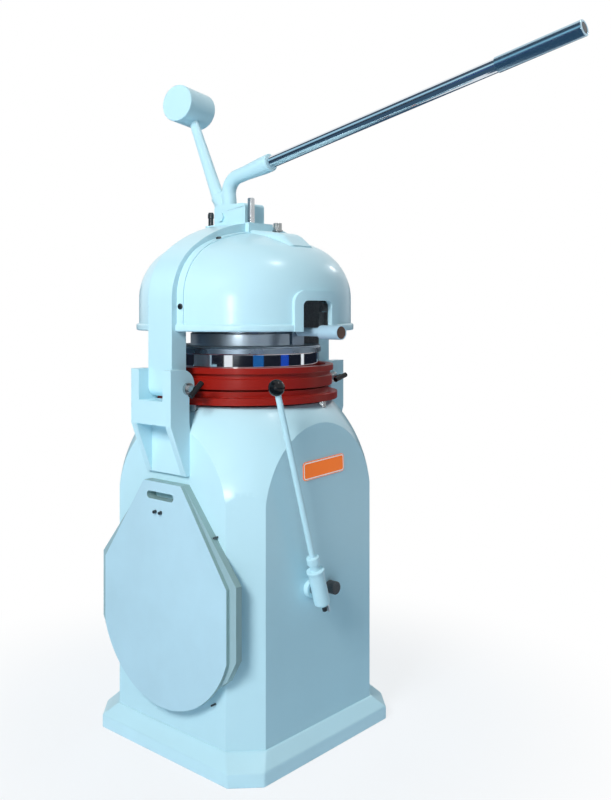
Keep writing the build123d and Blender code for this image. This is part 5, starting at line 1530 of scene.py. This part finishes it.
    def reflections(self) -> None:
        """Stand the reflection cards round the object and lay some beside it."""
        facing = math.radians(self.azimuth)
        for card in self.cards:
            steps = max(2, int((card.end - card.start) / self.card_step))
            corners = []
            for i in range(steps + 1):
                turn = facing - math.radians(card.start + (card.end - card.start) * i / steps)
                x, y = -card.distance * math.sin(turn), -card.distance * math.cos(turn)
                corners += [(x, y, card.low), (x, y, card.high)]
            faces = [(2 * i, 2 * i + 1, 2 * i + 3, 2 * i + 2) for i in range(steps)]
            self.panel(card.name, corners, faces, card.colour)
        z = self.floor_card_z
        for i, ((x0, y0), (x1, y1)) in enumerate(self.floor_cards):
            corners = [(x0, y0, z), (x1, y0, z), (x1, y1, z), (x0, y1, z)]
            self.panel(f"floor_card_{i}", corners, [(0, 1, 2, 3)], self.floor_card_colour)

    def seen(self, sheet: NodeSheet) -> bpy.types.NodeSocket:
        """Factor that is one for camera, glossy and transmission rays.

        Args:
            sheet: the node tree it is made in.

        Returns:
            The factor.
        """
        path = sheet.add("ShaderNodeLightPath")
        factor = path.outputs["Is Camera Ray"]
        for ray in ("Is Glossy Ray", "Is Transmission Ray"):
            inputs = {0: factor, 1: path.outputs[ray]}
            factor = sheet.add("ShaderNodeMath", inputs, operation="MAXIMUM").outputs[0]
        return factor

    def background(self) -> None:
        """Make a white background over a plain ambient light."""
        world = bpy.data.worlds.new("studio")
        world.use_nodes = True
        sheet = NodeSheet(world.node_tree)
        inputs = {"Color": (*self.ambient_colour, 1.0), "Strength": self.ambient}
        ambient = sheet.add("ShaderNodeBackground", inputs)
        white = sheet.add("ShaderNodeBackground", {"Color": (1.0, 1.0, 1.0, 1.0)})
        inputs = {"Fac": self.seen(sheet), 1: ambient.outputs[0], 2: white.outputs[0]}
        mix = sheet.add("ShaderNodeMixShader", inputs)
        sheet.add("ShaderNodeOutputWorld", {"Surface": mix.outputs[0]})
        bpy.context.scene.world = world

    def floor(self) -> None:
        """Make the pale floor, which runs out into the white background."""
        material = bpy.data.materials.new("pale_floor")
        material.use_nodes = True
        sheet = NodeSheet(material.node_tree)
        diffuse = sheet.add("ShaderNodeBsdfDiffuse", {"Color": (*self.floor_colour, 1.0)})
        white = sheet.add("ShaderNodeEmission")
        coords = sheet.add("ShaderNodeTexCoord")
        far = sheet.add("ShaderNodeVectorMath", {0: coords.outputs["Object"]}, operation="LENGTH")
        start, end, near = self.floor_fade
        inputs = {"Value": far.outputs["Value"], "From Min": start, "From Max": end, "To Min": near,
                  "To Max": 1.0}
        fade = sheet.add("ShaderNodeMapRange", inputs, interpolation_type="SMOOTHSTEP")
        inputs = {0: self.seen(sheet), 1: fade.outputs["Result"]}
        share = sheet.add("ShaderNodeMath", inputs, operation="MULTIPLY")
        inputs = {"Fac": share.outputs[0], 1: diffuse.outputs[0], 2: white.outputs[0]}
        mix = sheet.add("ShaderNodeMixShader", inputs)
        sheet.add("ShaderNodeOutputMaterial", {"Surface": mix.outputs[0]})
        half = self.floor_half
        self.staged("floor", [(-half, -half, 0), (half, -half, 0), (half, half, 0), (-half, half, 0)],
                    [(0, 1, 2, 3)], material)

    def build(self) -> None:
        """Make the whole studio."""
        bpy.context.scene.view_settings.view_transform = "Standard"
        self.background()
        self.floor()
        self.reflections()
        self.lights()
        self.camera()


def main() -> None:
    """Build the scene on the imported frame."""
    logging.basicConfig(level=logging.INFO)
    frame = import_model()
    shop = Workshop(frame)
    Studio().build()
    for group in (Pedestal(), ArchAndDome(), PressHead(), RoundingTable(), PressLever(), RoundingLever(),
                  MouldingBoards()):
        LOG.info("building %s", type(group).__name__)
        group.build(shop)


if __name__ == "__main__":
    main()
